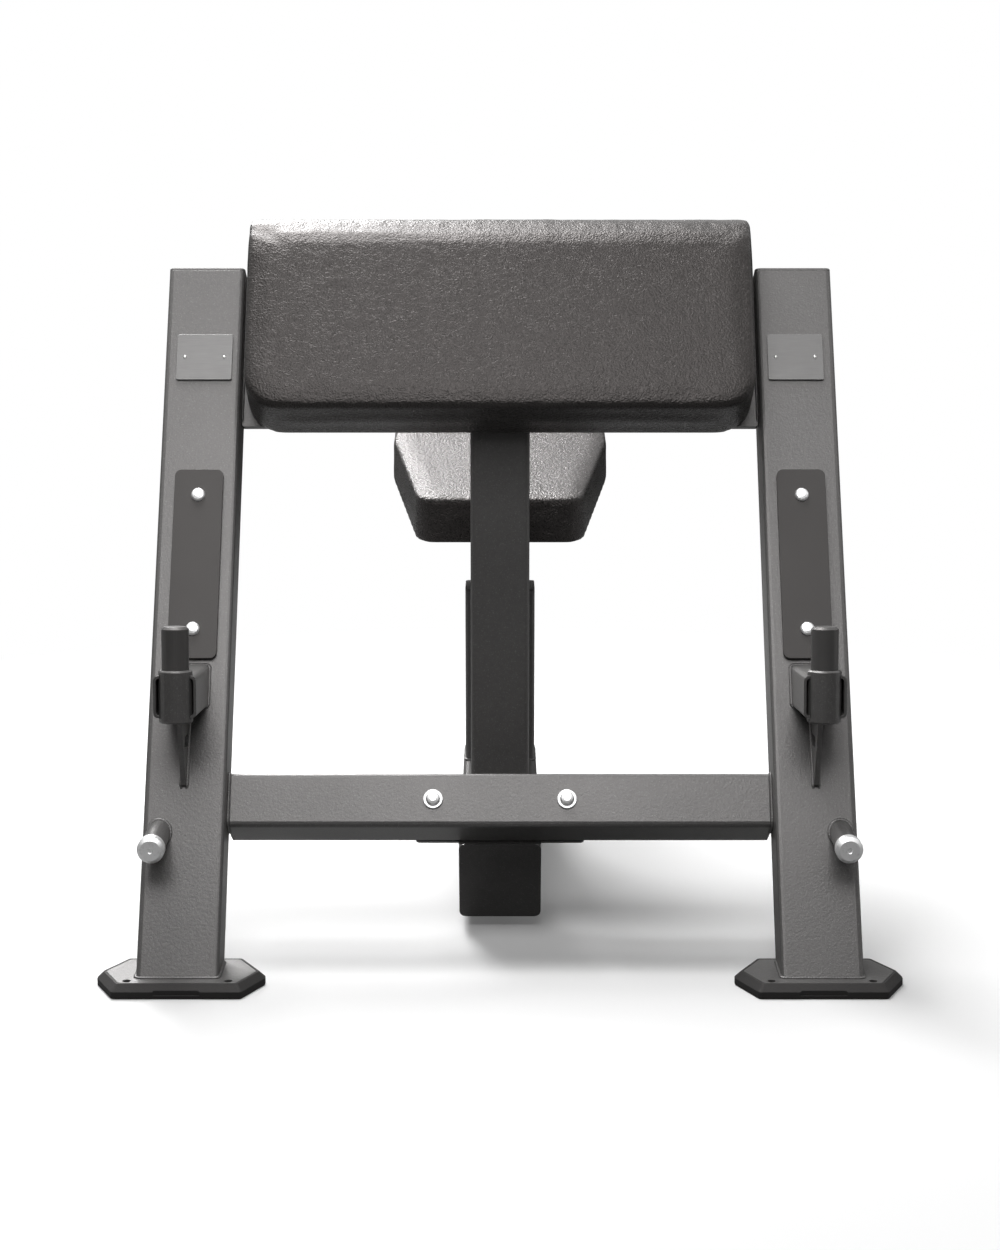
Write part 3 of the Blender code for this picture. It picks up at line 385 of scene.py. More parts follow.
def vinyl(name, pebble, depth, low_rough, high_rough, creasing, gloss):
    """Black upholstery vinyl: leather pebbles, long thin creases across, softly worn sheen."""
    made = Recipe(name)
    shift = made.add("ShaderNodeTexNoise", {"Vector": made.place, "Scale": 110, "Detail": 2.0})
    shift = shift.outputs["Color"]
    mild = made.add("ShaderNodeVectorMath", {0: shift, "Scale": 0.006}, operation="SCALE")
    mild = mild.outputs["Vector"]
    bent = made.add("ShaderNodeVectorMath", {0: made.place, 1: mild}, operation="ADD")
    pebbles = made.cells(pebble, bent.outputs["Vector"])
    pores = made.noise(pebble * 1.9, 3, 0.6)
    swell = made.noise(48, 4, 0.6)
    ripple = made.noise(165, 2)
    across = made.noise(60, 5, 0.62, made.stretched((0.45, 1.25, 1.25)))
    off_middle = made.math("ABSOLUTE", made.math("SUBTRACT", across, 0.5), 0.0)
    crease = made.scaled(made.ranged(off_middle, 0.004, 0.030, 1.0, 0.0), creasing)
    base = made.mixed(swell, colour(*VINYL_DARK), colour(*VINYL_LIGHT))
    base = made.mixed(made.ranged(pores, 0.52, 0.75, 0.0, 0.45), base, colour(*VINYL_PORE))
    base = made.mixed(made.scaled(crease, 0.20), base, colour(*VINYL_CREASE))
    uneven = made.math("ADD", pebbles, made.scaled(pores, 0.8))
    rough = made.ranged(uneven, 0.4, 1.2, low_rough, high_rough)
    height = made.math("ADD", made.scaled(pebbles, 0.8), made.scaled(pores, 0.5))
    height = made.math("ADD", height, made.scaled(crease, -0.25))
    height = made.math("ADD", height, made.scaled(swell, creasing))
    height = made.math("ADD", height, made.scaled(ripple, 1.3 * creasing))
    normal = made.bump(height, 0.75, depth)
    return made.finish(
        Base_Color=base,
        Roughness=rough,
        Normal=normal,
        Specular_IOR_Level=gloss,
        Specular_Tint=colour(*VINYL_TINT),
        Sheen_Weight=0.02,
        Sheen_Roughness=0.45,
    )


def moulded(name, dark, light, low_rough, high_rough, scale, strength, gloss):
    """Moulded plastic or rubber: fine spark-eroded grain, faint flow clouds, edges rubbed."""
    made = Recipe(name)
    grain = made.noise(scale, 3, 0.6)
    cloud = made.noise(18, 3)
    soft, edge = made.edges(0.0010)
    rub = made.math("MULTIPLY", edge, made.ranged(made.noise(90, 3), 0.3, 0.7))
    base = made.mixed(cloud, colour(*dark), colour(*light))
    paler = colour(*[min(1.0, channel * 2.2) for channel in light])
    base = made.mixed(made.scaled(rub, 0.5), base, paler)
    rough = made.ranged(made.math("ADD", grain, cloud), 0.6, 1.4, low_rough, high_rough)
    normal = made.bump(grain, strength, 0.0004, soft)
    return made.finish(
        Base_Color=base,
        Roughness=rough,
        Normal=normal,
        Specular_IOR_Level=gloss,
        Specular_Tint=colour(*PLASTIC_TINT),
    )


def plated(name, tone, low_rough, high_rough, strength):
    """Plated metal: turning marks, a slightly uneven polish and duller spots."""
    made = Recipe(name)
    marks = made.noise(900, 2, 0.5, made.stretched((1.0, 0.15, 1.0)))
    haze = made.noise(140, 3)
    soft, edge = made.edges(0.0006)
    dull = made.ranged(made.noise(300, 2), 0.58, 0.75)
    hazy = colour(*[channel * 0.86 for channel in tone])
    spotted = colour(*[channel * 0.6 for channel in tone])
    base = made.mixed(haze, colour(*tone), hazy)
    base = made.mixed(made.scaled(dull, 0.4), base, spotted)
    uneven = made.math("ADD", haze, made.scaled(edge, 0.3))
    rough = made.ranged(uneven, 0.3, 1.0, low_rough, high_rough)
    normal = made.bump(marks, strength, 0.0002, soft)
    return made.finish(Base_Color=base, Roughness=rough, Normal=normal, Metallic=1.0)


def brushed_badge():
    """Bare anodised plate with a brushed grain that runs across."""
    made = Recipe("brushed_badge")
    brush = made.noise(2200, 3, 0.6, made.stretched((0.02, 1.0, 1.0)))
    haze = made.noise(45, 3)
    soft, edge = made.edges(0.0006)
    base = made.mixed(brush, colour(*BADGE_DARK), colour(*BADGE_LIGHT))
    base = made.mixed(made.scaled(edge, 0.6), base, colour(*BADGE_RUBBED))
    rough = made.ranged(haze, 0.3, 0.7, 0.34, 0.46)
    normal = made.bump(brush, 0.15, 0.0002, soft)
    return made.finish(Base_Color=base, Roughness=rough, Normal=normal, Metallic=0.7)


def plywood():
    """Black-stained board with its veneer layers faintly lighter on the cut edge."""
    made = Recipe("stained_plywood")
    inputs = {"Vector": made.place, "Scale": 90, "Distortion": 1.5, "Detail": 2.0}
    layers = made.add("ShaderNodeTexWave", inputs, bands_direction="Z").outputs["Fac"]
    fibre = made.noise(600, 3, 0.6, made.stretched((0.1, 1.0, 1.0)))
    base = made.mixed(layers, colour(*BOARD_DARK), colour(*BOARD_LIGHT))
    base = made.mixed(made.ranged(fibre, 0.5, 0.8, 0.0, 0.5), base, colour(*BOARD_FIBRE))
    rough = made.ranged(fibre, 0.3, 0.7, 0.7, 0.9)
    normal = made.bump(fibre, 0.3, 0.0004)
    return made.finish(Base_Color=base, Roughness=rough, Normal=normal, Specular_IOR_Level=0.3)


# Finish of each slot of the record, and of the seat's coarser cover
FINISH = {
    "powder_coat": powder_coat(),
    "vinyl": vinyl("grained_vinyl", 400, 0.0007, 0.22, 0.36, 0.70, 0.40),
    "seat_vinyl": vinyl("seat_vinyl", 360, 0.0014, 0.16, 0.44, 0.4, 0.62),
    "plywood": plywood(),
    "rubber": moulded("black_rubber", *RUBBER_TONES, 0.60, 0.80, 520, 0.35, 0.4),
    "guard_plastic": moulded("guard_plastic", *GUARD_TONES, 0.40, 0.50, 650, 0.25, 0.40),
    "black_plastic": moulded("black_plastic", *PLASTIC_TONES, 0.36, 0.48, 800, 0.18, 0.6),
    "chrome": plated("satin_zinc", SATIN_TONE, 0.44, 0.56, 0.10),
    "zinc_steel": plated("zinc_steel", ZINC_TONE, 0.26, 0.44, 0.30),
    "badge_plate": brushed_badge(),
}


def dress_frame():
    """Every CAD node gets the procedural material of its slot."""
    slots = {part["node"]: part["material_slot"] for part in frame["record"]["subparts"]}
    for node, piece in frame["nodes"].items():
        piece.data.materials.clear()
        piece.data.materials.append(FINISH[slots[node]])


dress_frame()


# Making pieces

def finished(shape, matrix=None):
    bmesh.ops.recalc_face_normals(shape, faces=shape.faces)
    mesh = bpy.data.meshes.new("shape")
    shape.to_mesh(mesh)
    shape.free()
    if matrix is not None:
        mesh.transform(matrix)
    return mesh


def piece_of(name, mesh, slot, body, angle=35):
    """Object with a mesh already in place, the finish of its record slot and the body it rides on."""
    piece = bpy.data.objects.new(name, mesh)
    bpy.context.scene.collection.objects.link(piece)
    mesh.materials.clear()
    mesh.materials.append(FINISH[slot])
    mesh.shade_smooth()
    mesh.set_sharp_from_angle(angle=math.radians(angle))
    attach(piece, body)
    return piece


def rounded(corners, radii, steps=4, splits=0):
    """Outline with an arc at each corner, and with the straight stretches split evenly."""
    arcs = []
    count = len(corners)
    for index in range(count):
        corner = Vector(corners[index])
        before = (Vector(corners[index - 1]) - corner).normalized()
        after = (Vector(corners[(index + 1) % count]) - corner).normalized()
        half = before.angle(after) / 2
        radius = radii[index]
        reach = radius / math.tan(half)
        centre = corner + (before + after).normalized() * radius / math.sin(half)
        first = corner + before * reach - centre
        last = corner + after * reach - centre
        turn = math.pi - 2 * half
        arc = []
        for step in range(steps + 1):
            part = step / steps
            point = first * math.sin((1 - part) * turn) + last * math.sin(part * turn)
            arc.append(centre + point / math.sin(turn))
        arcs.append(arc)
    outline = []
    for index in range(count):
        arc = arcs[index]
        following = arcs[(index + 1) % count][0]
        outline += arc
        for split in range(splits):
            outline.append(arc[-1].lerp(following, (split + 1) / (splits + 1)))
    return [tuple(point) for point in outline]


def inset(corners, distance):
    """Corners of the same outline, drawn in by a distance on every side."""
    moved = []
    count = len(corners)
    for index in range(count):
        corner = Vector(corners[index])
        before = (corner - Vector(corners[index - 1])).normalized()
        after = (Vector(corners[(index + 1) % count]) - corner).normalized()
        inward_before = Vector((-before.y, before.x))
        inward_after = Vector((-after.y, after.x))
        lean_in = (inward_before + inward_after) / (1 + inward_before.dot(inward_after))
        moved.append(tuple(corner + lean_in * distance))
    return moved


def shrunk_outline(corners, radii, distance):
    smallest = 0.002
    radii = [max(radius - distance, smallest) for radius in radii]
    return rounded(inset(corners, distance), radii, steps=8, splits=8)


def loft(rings, closed=False):
    """Skin over rings of equal count, capped at both ends or, when closed, joined end to end."""
    shape = bmesh.new()
    rows = [[shape.verts.new(point) for point in ring] for ring in rings]
    next_rows = rows[1:] + rows[:1] if closed else rows[1:]
    for low, high in zip(rows, next_rows):
        for index in range(len(low)):
            following = (index + 1) % len(low)
            shape.faces.new((low[index], low[following], high[following], high[index]))
    if not closed:
        shape.faces.new(rows[0])
        shape.faces.new(rows[-1])
    return shape


def circle(radius, height, steps):
    angles = [2 * math.pi * step / steps for step in range(steps)]
    return [(radius * math.cos(angle), radius * math.sin(angle), height) for angle in angles]


def turned(profile, steps=32):
    """Closed body turned about Z from (radius, height) points; radius 0 closes an end."""
    shape = bmesh.new()
    rows = []
    for radius, height in profile:
        if radius == 0:
            rows.append([shape.verts.new((0, 0, height))])
        else:
            rows.append([shape.verts.new(point) for point in circle(radius, height, steps)])
    if len(rows[0]) > 1:
        rows.append(rows[0])
    for low, high in zip(rows, rows[1:]):
        for index in range(steps):
            following = (index + 1) % steps
            corners = [low[index % len(low)], low[following % len(low)]]
            corners += [high[following % len(high)], high[index % len(high)]]
            shape.faces.new(list(dict.fromkeys(corners)))
    return shape


# Stuffed covers

def cushion_block(corners, radii, low, high, edge, roll):
    """Closed solid of a pad and its board: a rounded rim round the face, and an oval roll along +Y."""
    far = max(y for x, y in corners)
    reach, fall = roll

    def rolled(y):
        return 0.0 if reach == 0 else min(1.0, max(0.0, (y - (far - reach)) / reach))

    def face_height(y):
        return high - fall + fall * math.sqrt(1 - rolled(y) ** 2)

    def edge_drop(depth, y):
        short = max(0.0, edge - depth)
        return (edge - math.sqrt(edge * edge - short * short)) * (1 - rolled(y))

    rings = []
    for depth, height in ((UNDERSIDE, low), (RIM, low), (0, low + RIM)):
        rings.append([(x, y, height) for x, y in shrunk_outline(corners, radii, depth)])
    for share in EDGE_STEPS:
        depth = edge * share
        outline = shrunk_outline(corners, radii, depth)
        rings.append([(x, y, face_height(y) - edge_drop(depth, y)) for x, y in outline])
    return finished(loft(rings))


def apply_modifiers(piece):
    """Bake what the modifiers make of a piece into its own mesh."""
    depsgraph = bpy.context.evaluated_depsgraph_get()
    mesh = bpy.data.meshes.new_from_object(piece.evaluated_get(depsgraph))
    piece.modifiers.clear()
    old = piece.data
    piece.data = mesh
    bpy.data.meshes.remove(old)


def remeshed(piece):
    remesh = piece.modifiers.new("even", "REMESH")
    remesh.mode = "VOXEL"
    remesh.voxel_size = VOXEL
    smooth = piece.modifiers.new("calm", "SMOOTH")
    smooth.factor = 0.5
    smooth.iterations = 3
    apply_modifiers(piece)


def stuffed(piece, low, hold, cap):
    """Blow the cover up, its wrapped part held; the foam limits how far it swells or sinks."""
    rest = [point.co.copy() for point in piece.data.vertices]
    group = piece.vertex_groups.new(name="held")
    for point in piece.data.vertices:
        rise = (point.co.z - low) / hold
        group.add([point.index], min(1.0, max(0.0, HELD_FULLY - rise)), "REPLACE")
    cloth = piece.modifiers.new("stuffing", "CLOTH")
    for key, value in CLOTH.items():
        setattr(cloth.settings, key, value)
    cloth.settings.vertex_group_mass = "held"
    cloth.settings.effector_weights.gravity = 0
    cloth.point_cache.frame_start = 1
    cloth.point_cache.frame_end = FRAMES
    scene = bpy.context.scene
    for step in range(1, FRAMES + 1):
        scene.frame_set(step)
    depsgraph = bpy.context.evaluated_depsgraph_get()
    blown = bpy.data.meshes.new_from_object(piece.evaluated_get(depsgraph))
    piece.modifiers.clear()
    piece.vertex_groups.clear()
    normals = [point.normal.copy() for point in piece.data.vertices]
    moved = [point.co - start for point, start in zip(blown.vertices, rest)]
    swell = [move.dot(normal) for move, normal in zip(moved, normals)]
    limits = [cap if reach > 0 else SINK for reach in swell]
    swell = [limit * math.tanh(reach / limit) for reach, limit in zip(swell, limits)]
    swell = evened(piece.data, swell)
    for point, start, normal, reach in zip(piece.data.vertices, rest, normals, swell):
        point.co = start + normal * reach
    bpy.data.meshes.remove(blown)
    scene.frame_set(1)


def evened(mesh, values):
    """Values at the points, each drawn toward the mean of its neighbours: foam spreads the load."""
    ends = np.empty(len(mesh.edges) * 2, dtype=np.int32)
    mesh.edges.foreach_get("vertices", ends)
    first, second = ends[0::2], ends[1::2]
    known = np.array(values)
    count = np.bincount(ends, minlength=len(known))
    for step in range(EVENING):
        total = np.bincount(first, weights=known[second], minlength=len(known))
        total += np.bincount(second, weights=known[first], minlength=len(known))
        known = 0.5 * known + 0.5 * total / count
    return known.tolist()


def subdivided(piece):
    smooth = piece.modifiers.new("smooth", "SUBSURF")
    smooth.levels = 1
    smooth.render_levels = 1
    apply_modifiers(piece)


def cut(piece, shape, name):
    tool = bpy.data.objects.new(name, finished(shape))
    bpy.context.scene.collection.objects.link(tool)
    boolean = piece.modifiers.new(name, "BOOLEAN")
    boolean.operation = "DIFFERENCE"
    boolean.solver = "MANIFOLD"
    boolean.object = tool
    apply_modifiers(piece)
    bpy.data.objects.remove(tool)


def box_shape(low, high):
    shape = bmesh.new()
    bmesh.ops.create_cube(shape, size=1)
    size = [b - a for a, b in zip(low, high)]
    middle = [(a + b) / 2 for a, b in zip(low, high)]
    bmesh.ops.scale(shape, verts=shape.verts, vec=size)
    bmesh.ops.translate(shape, verts=shape.verts, vec=middle)
    return shape


def slab_shape(outline, low, high):
    return loft([[(x, y, height) for x, y in outline] for height in (low, high)])


def cover(name, corners, radii, low, high, edge, roll, hold, cap):
    """Vinyl cover: a block that allows for the smoothing, blown up by simulation, then smoothed."""
    larger = inset(corners, -START_LARGER)
    mesh = cushion_block(larger, radii, low, high + START_LARGER, edge, roll)
    piece = bpy.data.objects.new(name, mesh)
    bpy.context.scene.collection.objects.link(piece)
    remeshed(piece)
    stuffed(piece, low, hold, cap)
    subdivided(piece)
    return piece


def drawn_creases(piece, middle, reach):
    """Shallow creases where the vinyl is pulled over the roll, fading out on both sides of it."""
    normals = [point.normal.copy() for point in piece.data.vertices]
    for point, normal in zip(piece.data.vertices, normals):
        near = max(0.0, 1 - abs(point.co.y - middle) / reach)
        if near > 0:
            share = near * near
            wave = noise.noise(Vector((point.co.x * 34, share * 2, 0.7)))
            wave += 0.5 * noise.noise(Vector((point.co.x * 95, share * 3, 4.1)))
            point.co += normal * CREASE_DEPTH * share * wave


def dressed(piece, matrix, finish, body, node):
    """Put a cover made flat in its place, with its vinyl, its body and the CAD cushion it stands for."""
    mesh = piece.data
    mesh.transform(matrix)
    mesh.materials.clear()
    mesh.materials.append(FINISH[finish])
    mesh.shade_smooth()
    mesh.set_sharp_from_angle(angle=math.radians(COVER_ANGLE))
    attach(piece, body)
    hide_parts(node)


def make_pad_cover():
    """Arm pad: firm face, wide roll over the top, cover tucked behind the board top and bottom."""
    half = PAD_WIDTH / 2
    tall = (PAD_HIGH - PAD_LOW) / 2
    corners = [(-half, -tall), (half, -tall), (half, tall), (-half, tall)]
    board_back = -PAD_BOARD - GAP
    low = board_back - WRAP - HAIR
    fuller = [(x, y + PAD_TOP_FULLER) if y > 0 else (x, y) for x, y in corners]
    piece = cover(
        "arm_pad_cover",
        fuller,
        PAD_RADII,
        low,
        PAD_THICKNESS,
        edge=PAD_EDGE,
        roll=PAD_ROLL,
        hold=PAD_HELD,
        cap=PAD_CAP,
    )
    reach = PAD_ROLL[0]
    drawn_creases(piece, tall - reach * CREASES_DOWN, reach)
    board = shrunk_outline(corners, PAD_RADII, BOARD_INSET)
    cut(piece, slab_shape(board, board_back - HAIR, HAIR), "board_room")
    room_low = (-half - 2 * PAST, PAD_LOW + PLATE_ROOM_LOW - PAD_MIDDLE, low - PAST)
    room_high = (half + 2 * PAST, PLATE_HIGH + PLATE_ROOM_HIGH - PAD_MIDDLE, board_back + HAIR / 2)
    cut(piece, box_shape(room_low, room_high), "plate_room")
    dressed(piece, PAD_PLANE, "vinyl", "frame", "arm_pad")


def seat_corners():
    return [
        (-SEAT_FRONT_HALF, SEAT_FRONT),
        (SEAT_FRONT_HALF, SEAT_FRONT),
        (SEAT_HALF, SEAT_WIDEST),
        (SEAT_HALF, SEAT_BACK),
        (-SEAT_HALF, SEAT_BACK),
        (-SEAT_HALF, SEAT_WIDEST),
    ]


def make_seat_cover():
    """Seat: crowned face, upright sides, cover wrapped round the board and tucked under its rim."""
    corners = seat_corners()
    low = -WRAP - 2 * HAIR
    piece = cover(
        "seat_cover",
        corners,
        SEAT_RADII,
        low,
        SEAT_THICKNESS,
        edge=SEAT_EDGE,
        roll=NO_ROLL,
        hold=SEAT_HELD,
        cap=SEAT_CAP,
    )
    board = shrunk_outline(corners, SEAT_RADII, BOARD_INSET)
    opening = shrunk_outline(corners, SEAT_RADII, TUCK)
    cut(piece, slab_shape(board, -2 * HAIR, SEAT_BOARD + HAIR), "board_room")
    cut(piece, slab_shape(opening, low - PAST, 2 * HAIR), "opening")
    dressed(piece, SEAT_TOP, "seat_vinyl", "seat", "seat_cushion")


make_pad_cover()
make_seat_cover()


# Fasteners

def hex_profile(across, height, bore=0.0, steps=48):
    """Hexagon with its corners turned off, as a closed body standing on zero."""
    inner = across / 2
    rings = []
    for level in (0.0, 1.0):
        ring = []
        for step in range(steps):
            angle = 2 * math.pi * step / steps
            sector = (angle + math.pi / 6) % (math.pi / 3) - math.pi / 6
            reach = inner / math.cos(sector)
            drop = (reach - inner) * HEX_CHAMFER
            top = height - drop if level else drop / 2
            ring.append((reach * math.cos(angle), reach * math.sin(angle), top))
        rings.append(ring)
    face = [(x * HEX_FACE, y * HEX_FACE, height) for x, y, z in rings[1]]
    foot = [(x * HEX_FOOT, y * HEX_FOOT, 0.0) for x, y, z in rings[0]]
    if bore == 0:
        return loft([foot, rings[0], rings[1], face])
    mouth = [circle(bore, level, steps) for level in (height - MOUTH_DEPTH, MOUTH_DEPTH)]
    wide = [[(x * MOUTH_FLARE, y * MOUTH_FLARE, z) for x, y, z in row] for row in mouth]
    top = [(x, y, height) for x, y, z in wide[0]]
    bottom = [(x, y, 0.0) for x, y, z in wide[1]]
    return loft([foot, rings[0], rings[1], face, top, mouth[0], mouth[1], bottom], closed=True)


def washer(bore, radius, thickness):
    soft = WASHER_SOFTENED
    under = [(bore, soft), (bore + soft, 0), (radius - soft, 0), (radius, soft)]
    over = [(radius, thickness - soft), (radius - soft, thickness)]
    over += [(bore + soft, thickness), (bore, thickness - soft)]
    return turned(under + over)


def make_fastener(names, matrix, body, washer_sizes, head_sizes):
    """Washer that stands on the plane's zero, and a hexagon head or nut a hair above it."""
    piece_of(names[0], finished(washer(*washer_sizes), matrix), "zinc_steel", body)
    lift = matrix @ Matrix.Translation((0, 0, washer_sizes[2] + HAIR))
    piece_of(names[1], finished(hex_profile(*head_sizes), lift), "zinc_steel", body)


def make_fasteners():
    for number, (x, rise) in enumerate(PAD_BOLTS):
        matrix = LEG_PLANE @ Matrix.Translation((x, PLATE_BACK + HAIR, rise)) @ FACING_BACK
        names = (f"pad_bolt_{number}_washer", f"pad_bolt_{number}_head")
        make_fastener(names, matrix, "frame", BOLT_WASHER, BOLT_HEAD)
    for number, (x, y) in enumerate(SEAT_BOLTS):
        matrix = SEAT_TOP @ Matrix.Translation((x, y, BRACKET_BACK - HAIR)) @ FACING_DOWN
        names = (f"seat_bolt_{number}_washer", f"seat_bolt_{number}_head")
        make_fastener(names, matrix, "seat", BOLT_WASHER, BOLT_HEAD)
    for side, sign in SIDES.items():
        spot = (sign * BAR_BOLT_SPREAD, FLANGE_BACK + 2 * HAIR, BAR_MIDDLE)
        matrix = LEG_PLANE @ Matrix.Translation(spot) @ FACING_BACK
        names = (f"bar_nut_{side}_washer", f"bar_nut_{side}")
        make_fastener(names, matrix, "frame", NUT_WASHER, NUT)


make_fasteners()


# The pull pin's spring

def make_return_spring():
    """The pin's coil, a copy of the CAD spring in a piece of its own; the real coil shortens towards the
    housing's end as the pin is pulled.
    """
    mesh = frame["nodes"]["pin_spring"].data.copy()
    spring = piece_of("return_spring", mesh, "zinc_steel", "frame", angle=60)
    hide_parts("pin_spring")
    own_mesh(spring)


make_return_spring()


# Rivets and staples

def make_rivets():
    """Two domed rivets on each badge."""
    for side, sign in SIDES.items():
        for place, shift in (("inner", -RIVET_SHIFT), ("outer", RIVET_SHIFT)):
            spot = (sign * (FITTING_SPREAD + shift), -BADGE_FRONT - HAIR, BADGE_MIDDLE)
            matrix = LEG_PLANE @ Matrix.Translation(spot) @ FACING_FRONT
            dome = finished(turned(RIVET_DOME, RIVET_STEPS), matrix)
            piece_of(f"badge_rivet_{side}_{place}", dome, "zinc_steel", "frame")


def walked(path, step, closed):
    """Points an even step apart along a path, each with its direction."""
    stops = [Vector(point) for point in path]
    if closed:
        stops.append(stops[0])
    lengths = [(b - a).length for a, b in zip(stops, stops[1:])]
    count = max(3, round(sum(lengths) / step))
    total = count if closed else count + 1
    walk = []
    leg = 0
    behind = 0.0
    for index in range(total):
        target = min(sum(lengths) * index / count, sum(lengths) - 1e-9)
        while behind + lengths[leg] < target:
            behind += lengths[leg]
            leg += 1
        run = stops[leg + 1] - stops[leg]
        walk.append((stops[leg] + run * (target - behind) / lengths[leg], run.normalized()))
    return walk


def staples(name, walk, height, matrix, body):
    """Row of staple crowns laid along a walk."""
    row = bmesh.new()
    high = [size / 2 for size in STAPLE]
    low = [-size for size in high]
    for point, direction in walk:
        single = finished(box_shape(low, high))
        turn = Matrix.Rotation(math.atan2(direction.y, direction.x), 4, "Z")
        single.transform(Matrix.Translation((point.x, point.y, height)) @ turn)
        row.from_mesh(single)
        bpy.data.meshes.remove(single)
    piece_of(name, finished(row, matrix), "zinc_steel", body)


def make_staples():
    """Staples that hold the vinyl under the seat board and along the pad's upper back."""
    line = shrunk_outline(seat_corners(), SEAT_RADII, TUCK / 2)
    below = -WRAP - STAPLE_LIFT
    staples("seat_staples", walked(line, STAPLE_PITCH, True), below, SEAT_TOP, "seat")
    half = PAD_WIDTH / 2 - PAD_STAPLES_IN[0]
    rise = (PAD_HIGH - PAD_LOW) / 2 - PAD_STAPLES_IN[1]
    line = [(-half, rise), (half, rise)]
    behind = -PAD_BOARD - GAP - WRAP - STAPLE_LIFT
    staples("pad_staples", walked(line, STAPLE_PITCH, False), behind, PAD_PLANE, "frame")


make_rivets()
make_staples()


# Welds

def weld(name, matrix, path, closed=False):
    """Rippled bead along a path drawn in a plane, painted over with the frame."""
    rings = []
    walk = walked(path, WELD_RIPPLE / RIPPLE_POINTS, closed)
    for index, (point, direction) in enumerate(walk):
        ripple = 1 + RIPPLE_SHARE * math.cos(2 * math.pi * index / RIPPLE_POINTS)
        ripple += UNEVEN_SHARE * noise.noise(Vector((point.x * 90, point.y * 90, 0.3)))
        if not closed:
            ripple *= min(1.0, END_SHARE + END_GROWTH * min(index, len(walk) - 1 - index))
        aside = Vector((-direction.y, direction.x))
        ring = []
        for step in range(WELD_SIDES):
            angle = 2 * math.pi * step / WELD_SIDES
            reach = point + aside * WELD * ripple * math.cos(angle)
            ring.append((reach.x, reach.y, WELD * WELD_HEIGHT * ripple * math.sin(angle)))
        rings.append(ring)
    piece_of(name, finished(loft(rings, closed), matrix), "powder_coat", "frame", angle=80)


def boxed(low, high):
    """Closed path round a rectangle, its corners eased."""
    corners = [(low[0], low[1]), (high[0], low[1]), (high[0], high[1]), (low[0], high[1])]
    return rounded(corners, [WELD_EASED] * 4)


def make_frame_welds():
    """Beads at the post, the seat sleeve, the flange, the rear bar and the plate."""
    half = POST_WIDTH / 2
    on_spine = BENCH @ Matrix.Translation((0, 0, SPINE_TOP + WELD_LIFT))
    low, high = POST_Y - POST_DEPTH / 2, POST_Y + POST_DEPTH / 2
    weld("weld_post_foot", on_spine, boxed((-half, low), (half, high)), True)
    depth = PLATE_BACK + GAP
    ends = [(y - depth * math.cos(LEAN)) / math.sin(LEAN) for y in (low, high)]
    behind_plate = LEG_PLANE @ Matrix.Translation((0, depth, 0)) @ FACING_FRONT
    path = boxed((-half, ends[0] + POST_HEAD_TRIM), (half, ends[1]))
    weld("weld_post_head", behind_plate, path, True)
    half = SLEEVE_WIDTH / 2
    low, high = SEAT_Y - SLEEVE_DEPTH / 2, SEAT_Y + SLEEVE_DEPTH / 2
    weld("weld_seat_sleeve", on_spine, boxed((-half, low), (half, high)), True)
    path = [(-FLANGE_HALF, FLANGE_ON_SPINE), (FLANGE_HALF, FLANGE_ON_SPINE)]
    weld("weld_flange", on_spine, path)
    for side, sign in SIDES.items():
        web = sign * WEB_FACE
        weld(f"weld_web_{side}", on_spine, [(web, FLANGE_ON_SPINE + WEB_START), (web, WEB_END)])
    rear = BENCH @ Matrix.Translation((0, SPINE_REAR, 0)) @ FACING_FRONT
    top = SOLE + REAR_BAR_TOP
    weld("weld_rear_bar", rear, [(-REAR_BAR_HALF, top), (REAR_BAR_HALF, top)])


def make_leg_welds(side, sign):
    """Beads at a leg's foot, crossbar end, plate edge, catch and peg."""
    half = LEG_WIDTH / 2 + 2 * HAIR
    middle = sign * LEG_SPREAD
    on_foot = BENCH @ Matrix.Translation((0, 0, SOLE + GAP))
    inner, outer = middle - half, middle + half
    path = [(inner, FOOT_WELD_REACH), (inner, 0), (outer, 0), (outer, FOOT_WELD_REACH)]
    path = rounded(path, [SHARP_TURN, WELD_EASED, WELD_EASED, SHARP_TURN])
    weld(f"weld_foot_{side}", on_foot, path)

    x = sign * (INNER_FACE - BEAD_BESIDE_LEG)
    beside = LEG_PLANE @ Matrix.Translation((x, 0, 0)) @ ACROSS
    back = LEG_DEPTH - BAR_WELD_END
    path = [(back, BAR_LOW), (BAR_FRONT, BAR_LOW), (BAR_FRONT, BAR_HIGH), (back, BAR_HIGH)]
    path = rounded(path, [SHARP_TURN, BAR_CORNER, BAR_CORNER, SHARP_TURN])
    weld(f"weld_crossbar_{side}", beside, path)
    low, high = PLATE_LOW + PLATE_WELD_ENDS[0], PLATE_HIGH - PLATE_WELD_ENDS[1]
    for face, depth in (("front", PLATE_FRONT), ("back", PLATE_BACK)):
        weld(f"weld_plate_{side}_{face}", beside, [(depth, low), (depth, high)])

    on_leg = LEG_PLANE @ FACING_FRONT
    x = sign * CATCH_SPREAD
    half = ARM_SIZE / 2
    low, high = ARM_ON_LEG
    weld(f"weld_catch_{side}", on_leg, boxed((x - half, low), (x + half, high)), True)
    low, high = GUSSET_ON_LEG
    for face, shift in (("inner", -GUSSET_FACE), ("outer", GUSSET_FACE)):
        weld(f"weld_gusset_{side}_{face}", on_leg, [(x + shift, low), (x + shift, high)])
    loop = []
    for step in range(PEG_WELD_STEPS):
        angle = 2 * math.pi * step / PEG_WELD_STEPS
        rise = PEG_HEIGHT - SOLE + PEG_RADIUS * math.sin(angle)
        loop.append((sign * PEG_SPREAD + PEG_RADIUS * math.cos(angle), rise / math.cos(LEAN)))
    weld(f"weld_peg_{side}", on_leg, loop, True)


make_frame_welds()
for side, sign in SIDES.items():
    make_leg_welds(side, sign)


# Floor, backdrop, lights and camera

